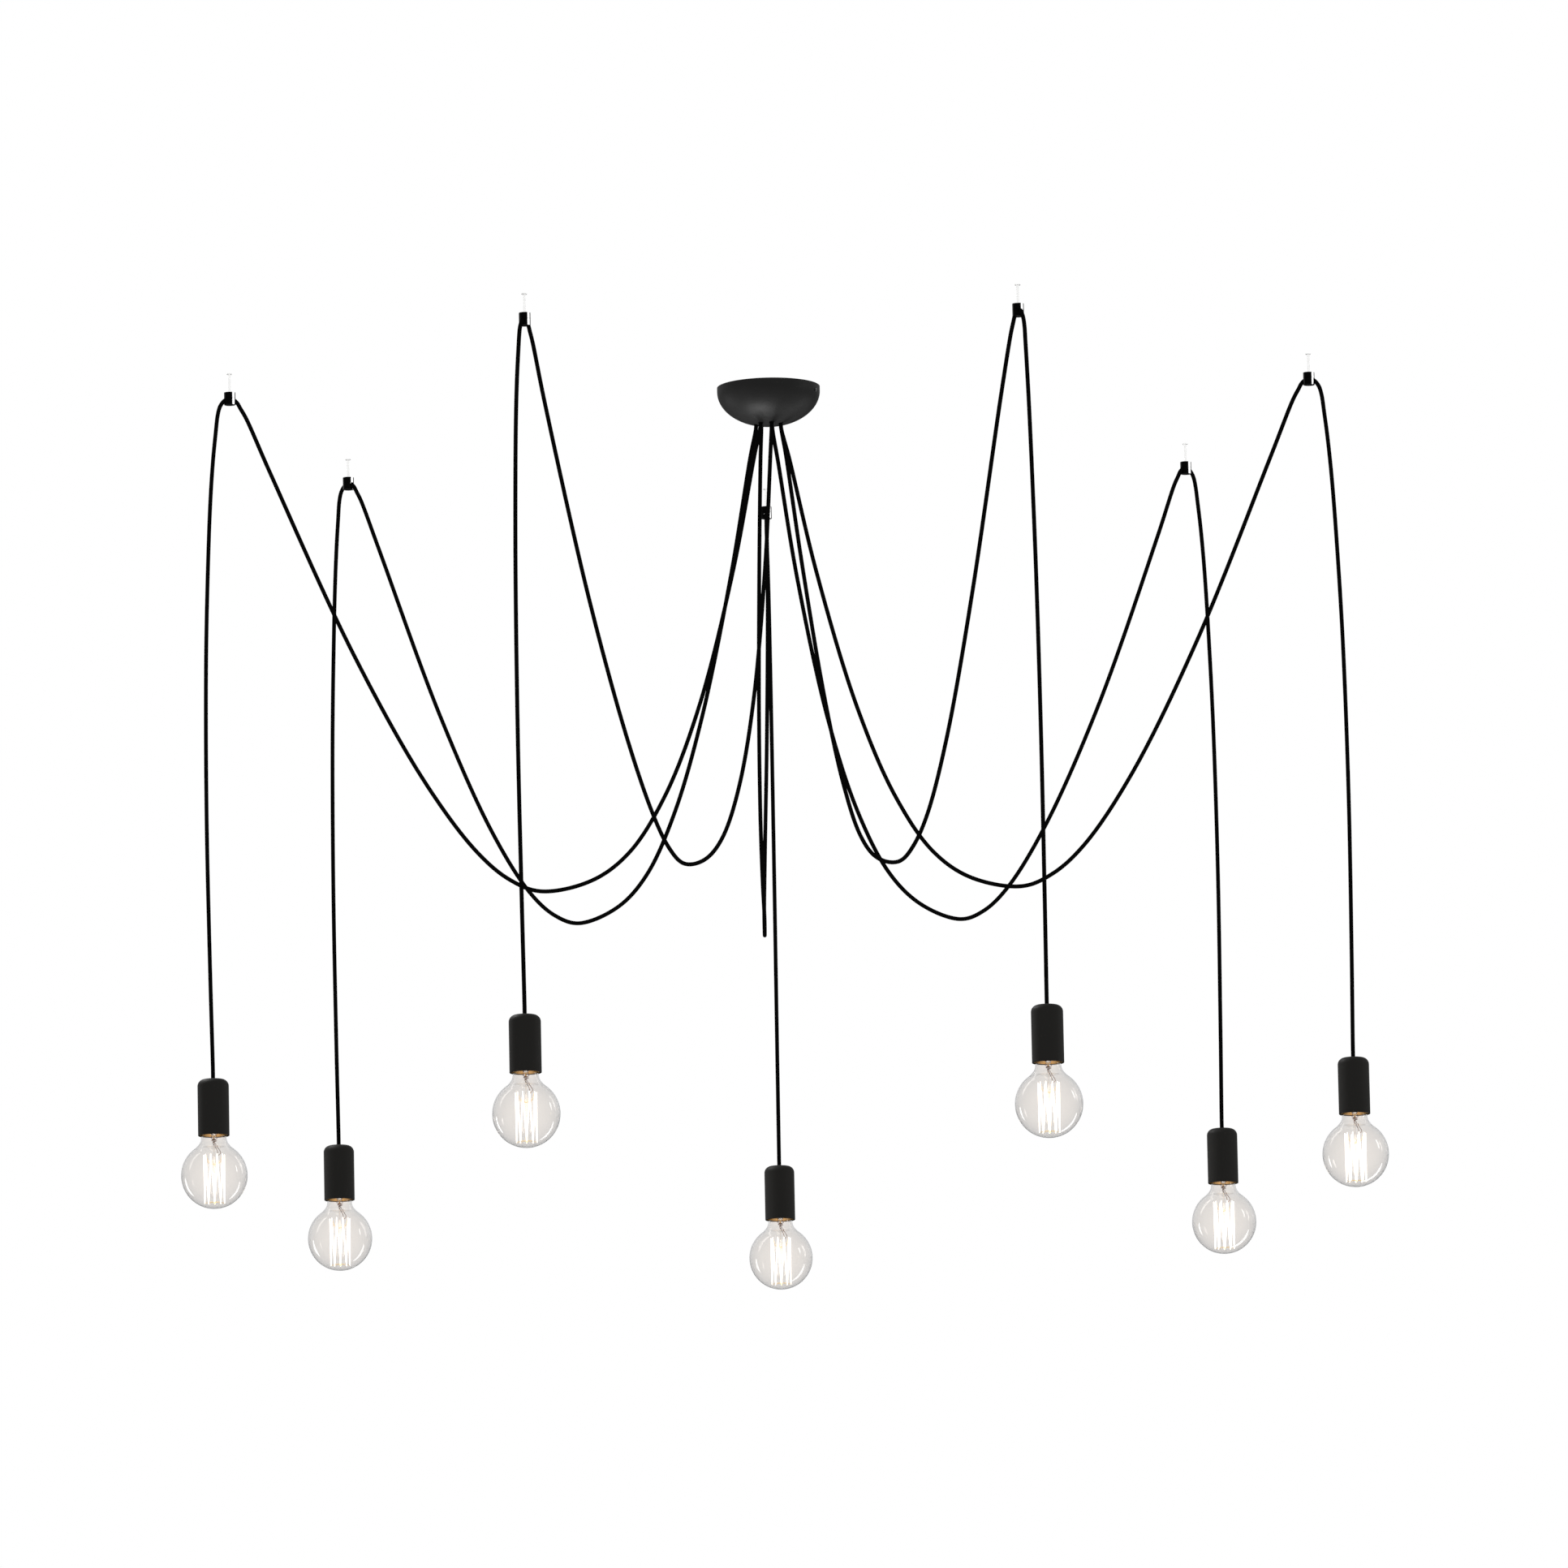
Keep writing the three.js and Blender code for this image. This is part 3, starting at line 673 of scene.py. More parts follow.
def tube(name, line, radius, sides):
    """A closed round tube along a line, with a UV map in metres: along it and round it."""
    ahead = (line[1] - line[0]).normalized()
    across = ahead.orthogonal().normalized()
    corners, faces, uvs, lengths, gone = [], [], [], [], 0.0
    for i, place in enumerate(line):
        before, after = line[max(i - 1, 0)], line[min(i + 1, len(line) - 1)]
        turn = ahead.rotation_difference((after - before).normalized())
        ahead = (after - before).normalized()
        across = turn @ across
        over = ahead.cross(across)
        gone += (place - before).length
        lengths.append(gone)
        for k in range(sides):
            angle = 2 * math.pi * k / sides
            corners.append(place + radius * (math.cos(angle) * across + math.sin(angle) * over))
    girth = 2 * math.pi * radius
    for i in range(len(line) - 1):
        for k in range(sides):
            j = (k + 1) % sides
            faces.append((i * sides + k, i * sides + j, (i + 1) * sides + j, (i + 1) * sides + k))
            near, far = girth * k / sides, girth * (k + 1) / sides
            uvs += [(lengths[i], near), (lengths[i], far), (lengths[i + 1], far), (lengths[i + 1], near)]
    faces += [tuple(range(sides - 1, -1, -1)), tuple(range(len(corners) - sides, len(corners)))]
    uvs += [(0, 0)] * (2 * sides)
    mesh = bpy.data.meshes.new(name)
    mesh.from_pydata(corners, [], faces)
    layer = mesh.uv_layers.new(name="length_and_girth")
    layer.data.foreach_set("uv", [value for uv in uvs for value in uv])
    mesh.shade_smooth()
    piece = bpy.data.objects.new(name, mesh)
    bpy.context.collection.objects.link(piece)
    return piece


bundle_radius = 2 * conductor_radius + 0.1 * MM
ferrule = turned(
    "ferrule",
    [(0, 0), (bundle_radius + conductor_radius + 0.2 * MM, 0), (bundle_radius + conductor_radius, 6 * MM),
     (1.75 * MM, 8 * MM), (1.6 * MM, 14 * MM), (0, 14 * MM)],
    32,
)
soften(ferrule, 0.15 * MM)
for name, tone, x, side in (("brown", "#6b4228", -pole_pitch, -1), ("blue", "#2f6db5", pole_pitch, 1)):
    insulation, tree, shader = start_material(f"{name}_pvc_insulation")
    # Extruded plastic: smooth, with faint lengthwise waves in its gloss.
    place = add_node(tree, "ShaderNodeTexCoord")
    waves = add_node(tree, "ShaderNodeTexNoise", {"Vector": place.outputs["UV"], "Scale": 1 / (4 * MM)})
    rough = add_node(
        tree, "ShaderNodeMapRange", {"Value": waves.outputs["Fac"], "To Min": 0.3, "To Max": 0.45}
    )
    tree.links.new(rough.outputs["Result"], shader.inputs["Roughness"])
    shader.inputs["Base Color"].default_value = colour(tone)
    tip = strap_matrix @ Matrix.Translation((x, side * 22 * MM, block_middle))
    tip = tip @ Matrix.Rotation(side * math.pi / 2, 4, "X")
    dress(copied(ferrule, f"ferrule_{name}", tip), insulation, "root", "pale_nylon")
    for number in ARMS:
        hole = exit_place(number)
        start = hole @ Vector((-side * MM, 0, cover_low))
        above = hole @ Vector((-side * MM, 0, cover_high + 2 * MM))
        seat = Vector((0, 0, 0))
        if number > 1:
            turn = math.pi / 3 * number
            seat = Vector((bundle_radius * math.cos(turn), bundle_radius * math.sin(turn), 0))
        end = tip @ seat
        before = tip @ (seat + Vector((0, 0, -7 * MM)))
        rise = (above + before) / 2 + Vector((0, side * 3 * MM, 2 * MM))
        line = smooth_line([start, above, rise, before, end], 1.5 * MM)
        wire = tube(f"conductor_{name}_{number}", line, conductor_radius, 12)
        dress(wire, insulation, "root", "textile_cord")
bpy.data.objects.remove(ferrule)

# Cords
# Round mains flex in a braided black textile sleeve. Each one hangs in a deep swag from its hole in the
# canopy to its cable holder, lies over the holder's saddle and drops almost straight to its lampholder.

cord_radius = 3 * MM
cord_sides = 16
cord_step = 4 * MM
swag_length = 1.7
drop_length = 1.01
swag_route = [
    (0.0153, 0.0113, -0.046), (0.0153, 0.0113, -0.058), (0.026, 0.0134, -0.104), (0.062, 0.0185, -0.274),
    (0.118, 0.0225, -0.478), (0.172, 0.0228, -0.612), (0.226, 0.021, -0.695), (0.281, 0.019, -0.736),
    (0.357, 0.0185, -0.753), (0.402, 0.0183, -0.737), (0.449, 0.0178, -0.698), (0.522, 0.0143, -0.599),
    (0.625, 0.0072, -0.409), (0.742, 0.0003, -0.145), (0.7765, 0, -0.065), (0.7848, 0, -0.0505),
    (0.788, 0, -0.0446), (0.7914, 0, -0.0407), (0.7964, 0, -0.0373), (0.79985, 0, -0.0373),
]
drop_route = [
    (0.80015, 0, -0.0373), (0.8036, 0, -0.0373), (0.8086, 0, -0.0407), (0.812, 0, -0.0446),
    (0.8152, 0, -0.0505), (0.8183, 0, -0.063), (0.8213, -0.0005, -0.088), (0.8253, -0.0011, -0.125),
    (0.830, -0.0016, -0.185), (0.835, -0.0018, -0.285), (0.8398, -0.0017, -0.430), (0.842, -0.0012, -0.650),
    (0.840, -0.0004, -0.880), (0.838, 0, -1.018), (0.838, 0, -1.0357),
]

textile, tree, shader = start_material("black_textile_braid")
# Viscose yarns braided both ways round the flex: nearly black, matt, with a fine criss-cross relief.
strands = 8
yarn_spacing = 2 * math.pi * cord_radius / strands
place = add_node(tree, "ShaderNodeTexCoord")
band = yarn_spacing * math.sin(math.pi / 4)
bands_scale = math.pi / (10 * band)
waves = []
for slant in (math.pi / 4, -math.pi / 4):
    lie = add_node(tree, "ShaderNodeMapping", {"Vector": place.outputs["UV"], "Rotation": (0, 0, slant)})
    waves.append(add_node(tree, "ShaderNodeTexWave", {"Vector": lie.outputs["Vector"], "Scale": bands_scale}))
braid = add_node(
    tree, "ShaderNodeMath", {0: waves[0].outputs["Fac"], 1: waves[1].outputs["Fac"]}, operation="MAXIMUM"
)
tint = add_node(tree, "ShaderNodeMix", {"Factor": braid.outputs[0]}, data_type="RGBA")
tint.inputs["A"].default_value = colour("#040404")
tint.inputs["B"].default_value = colour("#0b0b0b")
tree.links.new(tint.outputs["Result"], shader.inputs["Base Color"])
relief = add_node(
    tree, "ShaderNodeBump", {"Height": braid.outputs[0], "Strength": 0.25, "Distance": 0.15 * MM}
)
tree.links.new(relief.outputs["Normal"], shader.inputs["Normal"])
shader.inputs["Roughness"].default_value = 0.9
shader.inputs["Specular IOR Level"].default_value = 0.02

for number in ARMS:
    for stretch, route, length in (("swag", swag_route, swag_length), ("drop", drop_route, drop_length)):
        line = smooth_line([arm_turn(number) @ Vector(spot) for spot in route], cord_step)
        cord = tube(f"textile_cord_{stretch}_{number}", line, cord_radius, cord_sides)
        cord.data.materials.append(textile)
        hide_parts(f"cord_{stretch}_{number}")
        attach(cord, "root" if stretch == "swag" else f"pendant_{number}")

# Cable holders
# Each is a small turned stack of glossy black plastic: a cap on a thin pale stud that screws into the
# ceiling, and a base that two lugs fix under it. The cord lies in the arched channel between them.

holder_circle = 800 * MM
holder_radius = 8.25 * MM
holder_top = -28 * MM
cap_foot = -36 * MM
base_top = -36.3 * MM
holder_bottom = -46 * MM
saddle_radius = 12 * MM
saddle_height = -37.1 * MM
channel_radius = 3.45 * MM
channel_wide_share = 1.2
stud_radius = 1.5 * MM
stud_foot = 4 * MM
stud_foot_thick = 1.2 * MM
stud_flare = 0.8 * MM
lug_wide = 4 * MM
lug_deep = 1.6 * MM
lug_tall = 4.5 * MM
lug_places = (-6.2 * MM, 6.2 * MM)

gloss, tree, shader = start_material("polished_black_plastic")
# Moulded and tumbled plastic: a deep black with a clear shine and hairline marks.
place = add_node(tree, "ShaderNodeTexCoord")
marks = add_node(
    tree, "ShaderNodeTexNoise", {"Vector": place.outputs["Object"], "Scale": 1 / (2 * MM), "Detail": 5}
)
rough = add_node(
    tree, "ShaderNodeMapRange", {"Value": marks.outputs["Fac"], "To Min": 0.06, "To Max": 0.14}
)
tree.links.new(rough.outputs["Result"], shader.inputs["Roughness"])
shader.inputs["Base Color"].default_value = colour("#010101")

white_nylon, tree, shader = start_material("white_nylon_stud")
# Thin injection-moulded nylon, so clear that it nearly vanishes against a pale ceiling.
place = add_node(tree, "ShaderNodeTexCoord")
wax = add_node(tree, "ShaderNodeTexNoise", {"Vector": place.outputs["Object"], "Scale": 1 / (3 * MM)})
rough = add_node(tree, "ShaderNodeMapRange", {"Value": wax.outputs["Fac"], "To Min": 0.2, "To Max": 0.3})
tree.links.new(rough.outputs["Result"], shader.inputs["Roughness"])
shader.inputs["Base Color"].default_value = colour("#fefefd")
shader.inputs["Transmission Weight"].default_value = 0.95

reach = math.asin(holder_radius / saddle_radius)
centre = Vector((0, 0, saddle_height - saddle_radius))
arch = [
    centre + saddle_radius * Vector((math.sin(reach * i / 12), 0, math.cos(reach * i / 12)))
    for i in range(-12, 13)
]
run_out = 8 * MM * Vector((math.cos(reach), 0, -math.sin(reach)))
arch = [arch[0] + Vector((-run_out.x, 0, run_out.z)), *arch, arch[-1] + run_out]
widen = Matrix.Diagonal((1, channel_wide_share, 1, 1))


def channel():
    """The arched channel for the cord, a little wider than it is high."""
    made = tube("channel", arch, channel_radius, 24)
    made.data.transform(widen)
    return made


cap = turned(
    "holder_cap",
    [(0, cap_foot), (holder_radius, cap_foot), (holder_radius, holder_top), (0, holder_top)],
    64,
)
pocket = (lug_wide + 0.6 * MM, lug_deep + 0.6 * MM, 5.6 * MM)
carve(cap, channel(), *[block(pocket, (0, y, cap_foot)) for y in lug_places])
soften(cap, 0.3 * MM)
base = turned(
    "holder_base",
    [(0, holder_bottom), (holder_radius, holder_bottom), (holder_radius, base_top), (0, base_top)],
    64,
)
carve(base, channel())
lugs = [block((lug_wide, lug_deep, lug_tall), (0, y, base_top + 0.25 * MM)) for y in lug_places]
base = joined("holder_base", base, *lugs)
soften(base, 0.3 * MM)
stud = turned(
    "holder_stud",
    [(0, holder_top), (stud_radius, holder_top), (stud_radius, -stud_foot_thick - stud_flare),
     (stud_radius + stud_flare, -stud_foot_thick), (stud_foot, -stud_foot_thick), (stud_foot, 0), (0, 0)],
    32,
)
soften(stud, 0.15 * MM)
polished = []
for number in ARMS:
    spot = arm_turn(number) @ Matrix.Translation((holder_circle, 0, 0))
    top = f"cable_holder_top_{number}"
    upper = copied(cap, f"cable_holder_cap_{number}", spot)
    lower = copied(base, f"cable_holder_foot_{number}", spot)
    polished += [upper, lower]
    dress(upper, gloss, "root", "gloss_black_plastic", top)
    dress(lower, gloss, "root", "gloss_black_plastic", f"cable_holder_base_{number}")
    dress(copied(stud, f"cable_holder_stud_{number}", spot), white_nylon, "root", "pale_nylon", top)
for model in (cap, base, stud):
    bpy.data.objects.remove(model)

# A broad light from a window on the right, for the pale marks on the holders' sides alone.
data = bpy.data.lights.new("window_lamp", "SUN")
data.energy = 16
data.angle = math.radians(52)
window_lamp = bpy.data.objects.new("window_lamp", data)
bpy.context.collection.objects.link(window_lamp)
window_lamp.matrix_world = Vector((-1, 0.12, -0.17)).to_track_quat("-Z", "Y").to_matrix().to_4x4()
flag_off_all_but(window_lamp, *polished)

# Lampholders
# A slim sleeve of aluminium, drawn with a rounded shoulder and lacquered matt black, hides a phenolic
# socket. The socket carries the brass screw shell and a brass liner that shows in the sleeve's mouth.

lamp_circle = 838 * MM
sleeve_top = -1030 * MM
sleeve_rim = -1112.5 * MM
sleeve_radius = 22.5 * MM
sleeve_wall = 2 * MM
shoulder = 10 * MM
crown_rise = 0.8 * MM
chamfer = 0.5 * MM
cord_hole = 3.3 * MM
skirt_height = -1098 * MM
socket_radius = 20.2 * MM
socket_top = -1040 * MM
contact_roof = -1075.2 * MM
shell_outside = 14.3 * MM
shell_wall = 0.35 * MM
liner_wall = 0.4 * MM
liner_mouth = 15.2 * MM
thread_pitch = 3.629 * MM

matt_black, tree, shader = start_material("matt_black_lacquer")
# A thin satin lacquer with a broad soft sheen. Its fine grain is drawn at 0.7 mm, coarser than it is, so
# that it shows.
place = add_node(tree, "ShaderNodeTexCoord")
grain = add_node(
    tree, "ShaderNodeTexNoise", {"Vector": place.outputs["Object"], "Scale": 1 / (0.7 * MM), "Detail": 2}
)
rough = add_node(tree, "ShaderNodeMapRange", {"Value": grain.outputs["Fac"], "To Min": 0.5, "To Max": 0.62})
tree.links.new(rough.outputs["Result"], shader.inputs["Roughness"])
skin = add_node(
    tree, "ShaderNodeBump", {"Height": grain.outputs["Fac"], "Strength": 0.3, "Distance": 0.03 * MM}
)
tree.links.new(skin.outputs["Normal"], shader.inputs["Normal"])
shader.inputs["Base Color"].default_value = colour("#272624")
shader.inputs["Specular IOR Level"].default_value = 0.2

phenolic, tree, shader = start_material("black_phenolic")
# Pressed resin: brown-black, dull, with a trace of mould grain.
place = add_node(tree, "ShaderNodeTexCoord")
grain = add_node(tree, "ShaderNodeTexNoise", {"Vector": place.outputs["Object"], "Scale": 1 / (1.5 * MM)})
rough = add_node(
    tree, "ShaderNodeMapRange", {"Value": grain.outputs["Fac"], "To Min": 0.35, "To Max": 0.55}
)
tree.links.new(rough.outputs["Result"], shader.inputs["Roughness"])
shader.inputs["Base Color"].default_value = colour("#17130f")

brass_with_painted_glow, tree, shader = start_material("satin_brass_liner_painted_glow")
# Spun brass with a satin skin and a painted amber glow for the filament's light, brightest face on.
place = add_node(tree, "ShaderNodeTexCoord")
satin = add_node(
    tree, "ShaderNodeTexNoise", {"Vector": place.outputs["Object"], "Scale": 1 / (2 * MM), "Detail": 3}
)
rough = add_node(tree, "ShaderNodeMapRange", {"Value": satin.outputs["Fac"], "To Min": 0.35, "To Max": 0.5})
tree.links.new(rough.outputs["Result"], shader.inputs["Roughness"])
# Painted glow: emission from amber face on to dark olive edge on, in place of the filament's light.
edge = add_node(tree, "ShaderNodeLayerWeight", {"Blend": 0.86})
painted_glow_colour = add_node(tree, "ShaderNodeMix", {"Factor": edge.outputs["Facing"]}, data_type="RGBA")
painted_glow_colour.inputs["A"].default_value = colour("#f2b866")
painted_glow_colour.inputs["B"].default_value = colour("#2c2618")
tree.links.new(painted_glow_colour.outputs["Result"], shader.inputs["Emission Color"])
shader.inputs["Base Color"].default_value = colour("#8f7a52")
shader.inputs["Metallic"].default_value = 0.8
shader.inputs["Emission Strength"].default_value = 0.8

shoulder_foot = sleeve_top - crown_rise - shoulder
out_arc = arc(shoulder, shoulder, shoulder_foot, math.pi / 2, 0, 16)
out_arc = [(sleeve_radius - shoulder + out, height) for out, height in out_arc]
in_bend = shoulder - sleeve_wall
in_arc = arc(in_bend, in_bend, shoulder_foot, 0, math.pi / 2, 12)
in_arc = [(sleeve_radius - shoulder + out, height) for out, height in in_arc]
sleeve_inside = sleeve_radius - sleeve_wall
sleeve = turned(
    "sleeve",
    [
        (sleeve_inside, sleeve_rim + chamfer), (sleeve_inside + chamfer, sleeve_rim),
        (sleeve_radius - chamfer, sleeve_rim), (sleeve_radius, sleeve_rim + chamfer), *out_arc,
        (cord_hole + 0.5 * MM, sleeve_top), (cord_hole, sleeve_top - 0.4 * MM),
        (cord_hole, sleeve_top - sleeve_wall), *in_arc, (sleeve_inside, sleeve_rim + chamfer),
    ],
    128,
)
bpy.ops.object.shade_smooth_by_angle(angle=math.radians(35))
socket = turned(
    "socket",
    [
        (0, contact_roof), (shell_outside, contact_roof), (shell_outside, skirt_height + 1 * MM),
        (15.4 * MM, skirt_height), (socket_radius - 0.6 * MM, skirt_height + 2.6 * MM),
        (socket_radius, skirt_height + 3.4 * MM), (socket_radius, socket_top), (0, socket_top),
    ],
    96,
)
bpy.ops.object.shade_smooth_by_angle(angle=math.radians(35))
thread_wave = [
    (12.15, 0), (12.35, 0.14), (12.95, 0.36), (13.15, 0.5), (12.95, 0.64), (12.35, 0.86), (12.15, 1),
]
shell_wave = [((radius + 0.45) * MM, share) for radius, share in thread_wave]
shell_low, shell_high = skirt_height + 0.5 * MM, contact_roof - 1 * MM
shell = wound("screw_shell", shell_wave, thread_pitch, shell_low, shell_high, 64, open_ends=True)
finish_with(shell, "SOLIDIFY", thickness=shell_wall, offset=1)
bpy.ops.object.shade_smooth_by_angle(angle=math.radians(50))
liner_low = sleeve_rim + 1.2 * MM
liner = turned(
    "liner",
    [
        (liner_mouth, skirt_height - 1 * MM), (19.2 * MM, skirt_height - 1 * MM),
        (sleeve_inside - liner_wall, skirt_height - 2.2 * MM), (sleeve_inside - liner_wall, liner_low),
        (sleeve_inside, liner_low), (sleeve_inside, skirt_height - 1.4 * MM),
        (19.6 * MM, skirt_height - 0.4 * MM), (liner_mouth, skirt_height - 0.4 * MM),
        (liner_mouth, skirt_height - 1 * MM),
    ],
    96,
)
soften(liner, 0.12 * MM)


def lamp_place(number):
    """Moves a lamp's model to its arm. All lamps are screwed in facing the same way."""
    return Matrix.Translation(arm_turn(number) @ Vector((lamp_circle, 0, 0)))


sleeves = []
for number in ARMS:
    spot = lamp_place(number)
    body = f"pendant_{number}"
    node = f"lampholder_{number}"
    for model, material, slot in (
        (sleeve, matt_black, "matte_black_plastic"),
        (socket, phenolic, "matte_black_plastic"),
        (shell, brass, "brass"),
        (liner, brass_with_painted_glow, "brass"),
    ):
        made = copied(model, f"{node}_{model.name}", spot)
        dress(made, material, body, slot, node)
        if model == sleeve:
            sleeves.append(made)
flag_off_all_but(shoulder_lamp, *sleeves)
for model in (sleeve, socket, shell, liner):
    bpy.data.objects.remove(model)

# Bulb glass
# A globe 95 mm across, blown from clear soda-lime glass about 1 mm thick. Its short neck flares out into
# the globe below and is cemented into the cap above.

globe_radius = 47.5 * MM
glass_wall = 1 * MM
globe_height = -1170 * MM
throat_radius = 12.6 * MM
throat_height = -1101.8 * MM
flare_turn = math.radians(33)
neck_line = [
    (22.9, -1126.8), (20.3, -1123.4), (18.7, -1119.4), (18.0, -1114.4), (17.7, -1108.5), (15.6, -1103.4),
]

glass, tree, shader = start_material("clear_blown_glass")
# Clear glass with a very slight warm cast, greyer edge on, partly for its path through more wall and
# partly as painted shade on the rim, and the long faint ripple of a blown wall.
place = add_node(tree, "ShaderNodeTexCoord")
ripple = add_node(
    tree, "ShaderNodeTexNoise", {"Vector": place.outputs["Object"], "Scale": 1 / (60 * MM), "Detail": 0}
)
wave = add_node(
    tree, "ShaderNodeBump", {"Height": ripple.outputs["Fac"], "Strength": 0.2, "Distance": 0.05 * MM}
)
tree.links.new(wave.outputs["Normal"], shader.inputs["Normal"])
# The grey edge tint is partly the glass's cast through more wall and partly painted shade on the rim.
edge = add_node(tree, "ShaderNodeLayerWeight", {"Blend": 0.25})
tint = add_node(tree, "ShaderNodeMix", {"Factor": edge.outputs["Facing"]}, data_type="RGBA")
tint.inputs["A"].default_value = colour("#f6f3f0")
tint.inputs["B"].default_value = colour("#c6cacf")
tree.links.new(tint.outputs["Result"], shader.inputs["Base Color"])
shader.inputs["Roughness"].default_value = 0.0
shader.inputs["IOR"].default_value = 1.5
shader.inputs["Transmission Weight"].default_value = 1.0


def bulb_line(inset):
    """The bulb's outline from the pole up to its throat, moved inwards by a wall."""
    neck = [Vector((out * MM, 0, height * MM)) for out, height in neck_line]
    ball = arc(globe_radius, globe_radius, globe_height, math.pi, flare_turn, 56)
    ball = [Vector((out, 0, height)) for out, height in ball]
    line = ball[:-1] + smooth_line([ball[-1], *neck, Vector((throat_radius, 0, throat_height))], 1 * MM)
    found = []
    for i, spot in enumerate(line):
        along = (line[min(i + 1, len(line) - 1)] - line[max(i - 1, 0)]).normalized()
        spot = spot + inset * Vector((-along.z, 0, along.x))
        found.append((max(spot.x, 0) if i else 0, spot.z))
    return found


globe = turned("globe", [*bulb_line(0), *reversed(bulb_line(glass_wall))], 128)
bpy.ops.object.shade_smooth_by_angle(angle=math.radians(50))
for number in ARMS:
    spot = lamp_place(number)
    made = copied(globe, f"bulb_envelope_{number}", spot)
    dress(made, glass, f"bulb_{number}", "clear_glass", f"bulb_glass_{number}")
bpy.data.objects.remove(globe)

# Bulb base
# A rolled brass screw cap with a black glass insulator and a drop of solder as its contact. Inside the
# globe a glass stem and rod carry fine hooks, and one carbon filament zigzags round them as a lit cage.

cap_foot_height = -1101.5 * MM
cap_shoulder = -1081.3 * MM
collar_radius = 13 * MM
collar_top = cap_foot_height + 3.2 * MM
contact_tip = -1075.5 * MM
contact_rise = 1.8 * MM
contact_radius = 5 * MM
stem_tip = cap_foot_height - 54 * MM
pinch = cap_foot_height - 12.5 * MM
rod_radius = 1.1 * MM
cage_radius = 14.8 * MM
cage_low = -1210 * MM
cage_high = -1140 * MM
strand_count = 20
strand_radius = 0.65 * MM
cage_turn = math.radians(19)
hook_radius = 0.2 * MM
lead_radius = 0.4 * MM

cap_wave = [(radius * MM - 0.15 * MM, share) for radius, share in thread_wave]
screw_cap = wound("screw_cap", cap_wave, thread_pitch, cap_foot_height + 3 * MM, cap_shoulder, 64)
collar = turned(
    "collar",
    [
        (0, cap_foot_height), (12.7 * MM, cap_foot_height), (collar_radius, cap_foot_height + 0.4 * MM),
        (collar_radius, collar_top - 1 * MM), (12 * MM, collar_top), (0, collar_top),
    ],
    64,
)
screw_cap = joined("screw_cap", screw_cap, collar)
bpy.ops.object.shade_smooth_by_angle(angle=math.radians(50))
contact_seat = contact_tip - contact_rise
insulator = turned(
    "insulator",
    [(0, cap_shoulder), (11.6 * MM, cap_shoulder), (9.5 * MM, cap_shoulder + 1.6 * MM),
     (contact_radius, contact_seat), (0, contact_seat)],
    64,
)
soften(insulator, 0.3 * MM)
drop_of_solder = arc(contact_radius, contact_rise, contact_seat, math.pi / 2, 0, 8)
contact = turned("contact", [(0, contact_seat), *drop_of_solder], 48)
bpy.ops.object.shade_smooth_by_angle(angle=math.radians(50))
stem = turned(
    "stem",
    [
        (0, stem_tip), (1.5 * MM, stem_tip), (1.6 * MM, stem_tip + 2.4 * MM), (1.1 * MM, stem_tip + 5 * MM),
        (1.1 * MM, pinch - 3 * MM), (2 * MM, pinch), (4 * MM, pinch + 3 * MM), (5.6 * MM, pinch + 6 * MM),
        (9 * MM, cap_foot_height), (8.4 * MM, cap_foot_height), (5 * MM, pinch + 6.4 * MM),
        (3.2 * MM, pinch + 3.8 * MM), (0, pinch + 2.4 * MM),
    ],
    48,
)
bpy.ops.object.shade_smooth_by_angle(angle=math.radians(60))
rod_top = stem_tip - 0.2 * MM
rod = turned(
    "rod", [(0, cage_low - rod_radius), (rod_radius, cage_low), (rod_radius, rod_top), (0, rod_top)], 24
)
bpy.ops.object.shade_smooth_by_angle(angle=math.radians(50))

stem_glass, tree, shader = start_material("clear_lead_glass")
# The stem's softer glass, drawn by hand, so its wall ripples.
place = add_node(tree, "ShaderNodeTexCoord")
ripple = add_node(
    tree, "ShaderNodeTexNoise", {"Vector": place.outputs["Object"], "Scale": 1 / (8 * MM), "Detail": 2}
)
wave = add_node(
    tree, "ShaderNodeBump", {"Height": ripple.outputs["Fac"], "Strength": 0.2, "Distance": 0.1 * MM}
)
tree.links.new(wave.outputs["Normal"], shader.inputs["Normal"])
shader.inputs["Base Color"].default_value = colour("#faf6f3")
shader.inputs["Roughness"].default_value = 0.02
shader.inputs["IOR"].default_value = 1.55
shader.inputs["Transmission Weight"].default_value = 1.0

rod_glass_painted_glow, tree, shader = start_material("glass_rod_painted_glow")
# The same glass drawn to a thin rod, with a painted pale yellow glow for the filament's light in it.
place = add_node(tree, "ShaderNodeTexCoord")
ripple = add_node(
    tree, "ShaderNodeTexNoise", {"Vector": place.outputs["Object"], "Scale": 1 / (8 * MM), "Detail": 2}
)
# Painted glow: the rod's emission wavers between two pale yellows, though the rod is no lamp.
tint = add_node(tree, "ShaderNodeMix", {"Factor": ripple.outputs["Fac"]}, data_type="RGBA")
tint.inputs["A"].default_value = colour("#ffe684")
tint.inputs["B"].default_value = colour("#fff4bc")
tree.links.new(tint.outputs["Result"], shader.inputs["Emission Color"])
shader.inputs["Base Color"].default_value = colour("#fff3cf")
shader.inputs["Emission Strength"].default_value = 0.8
shader.inputs["Roughness"].default_value = 0.1
shader.inputs["IOR"].default_value = 1.55
shader.inputs["Transmission Weight"].default_value = 0.7

vitrite, tree, shader = start_material("black_glass_insulator")
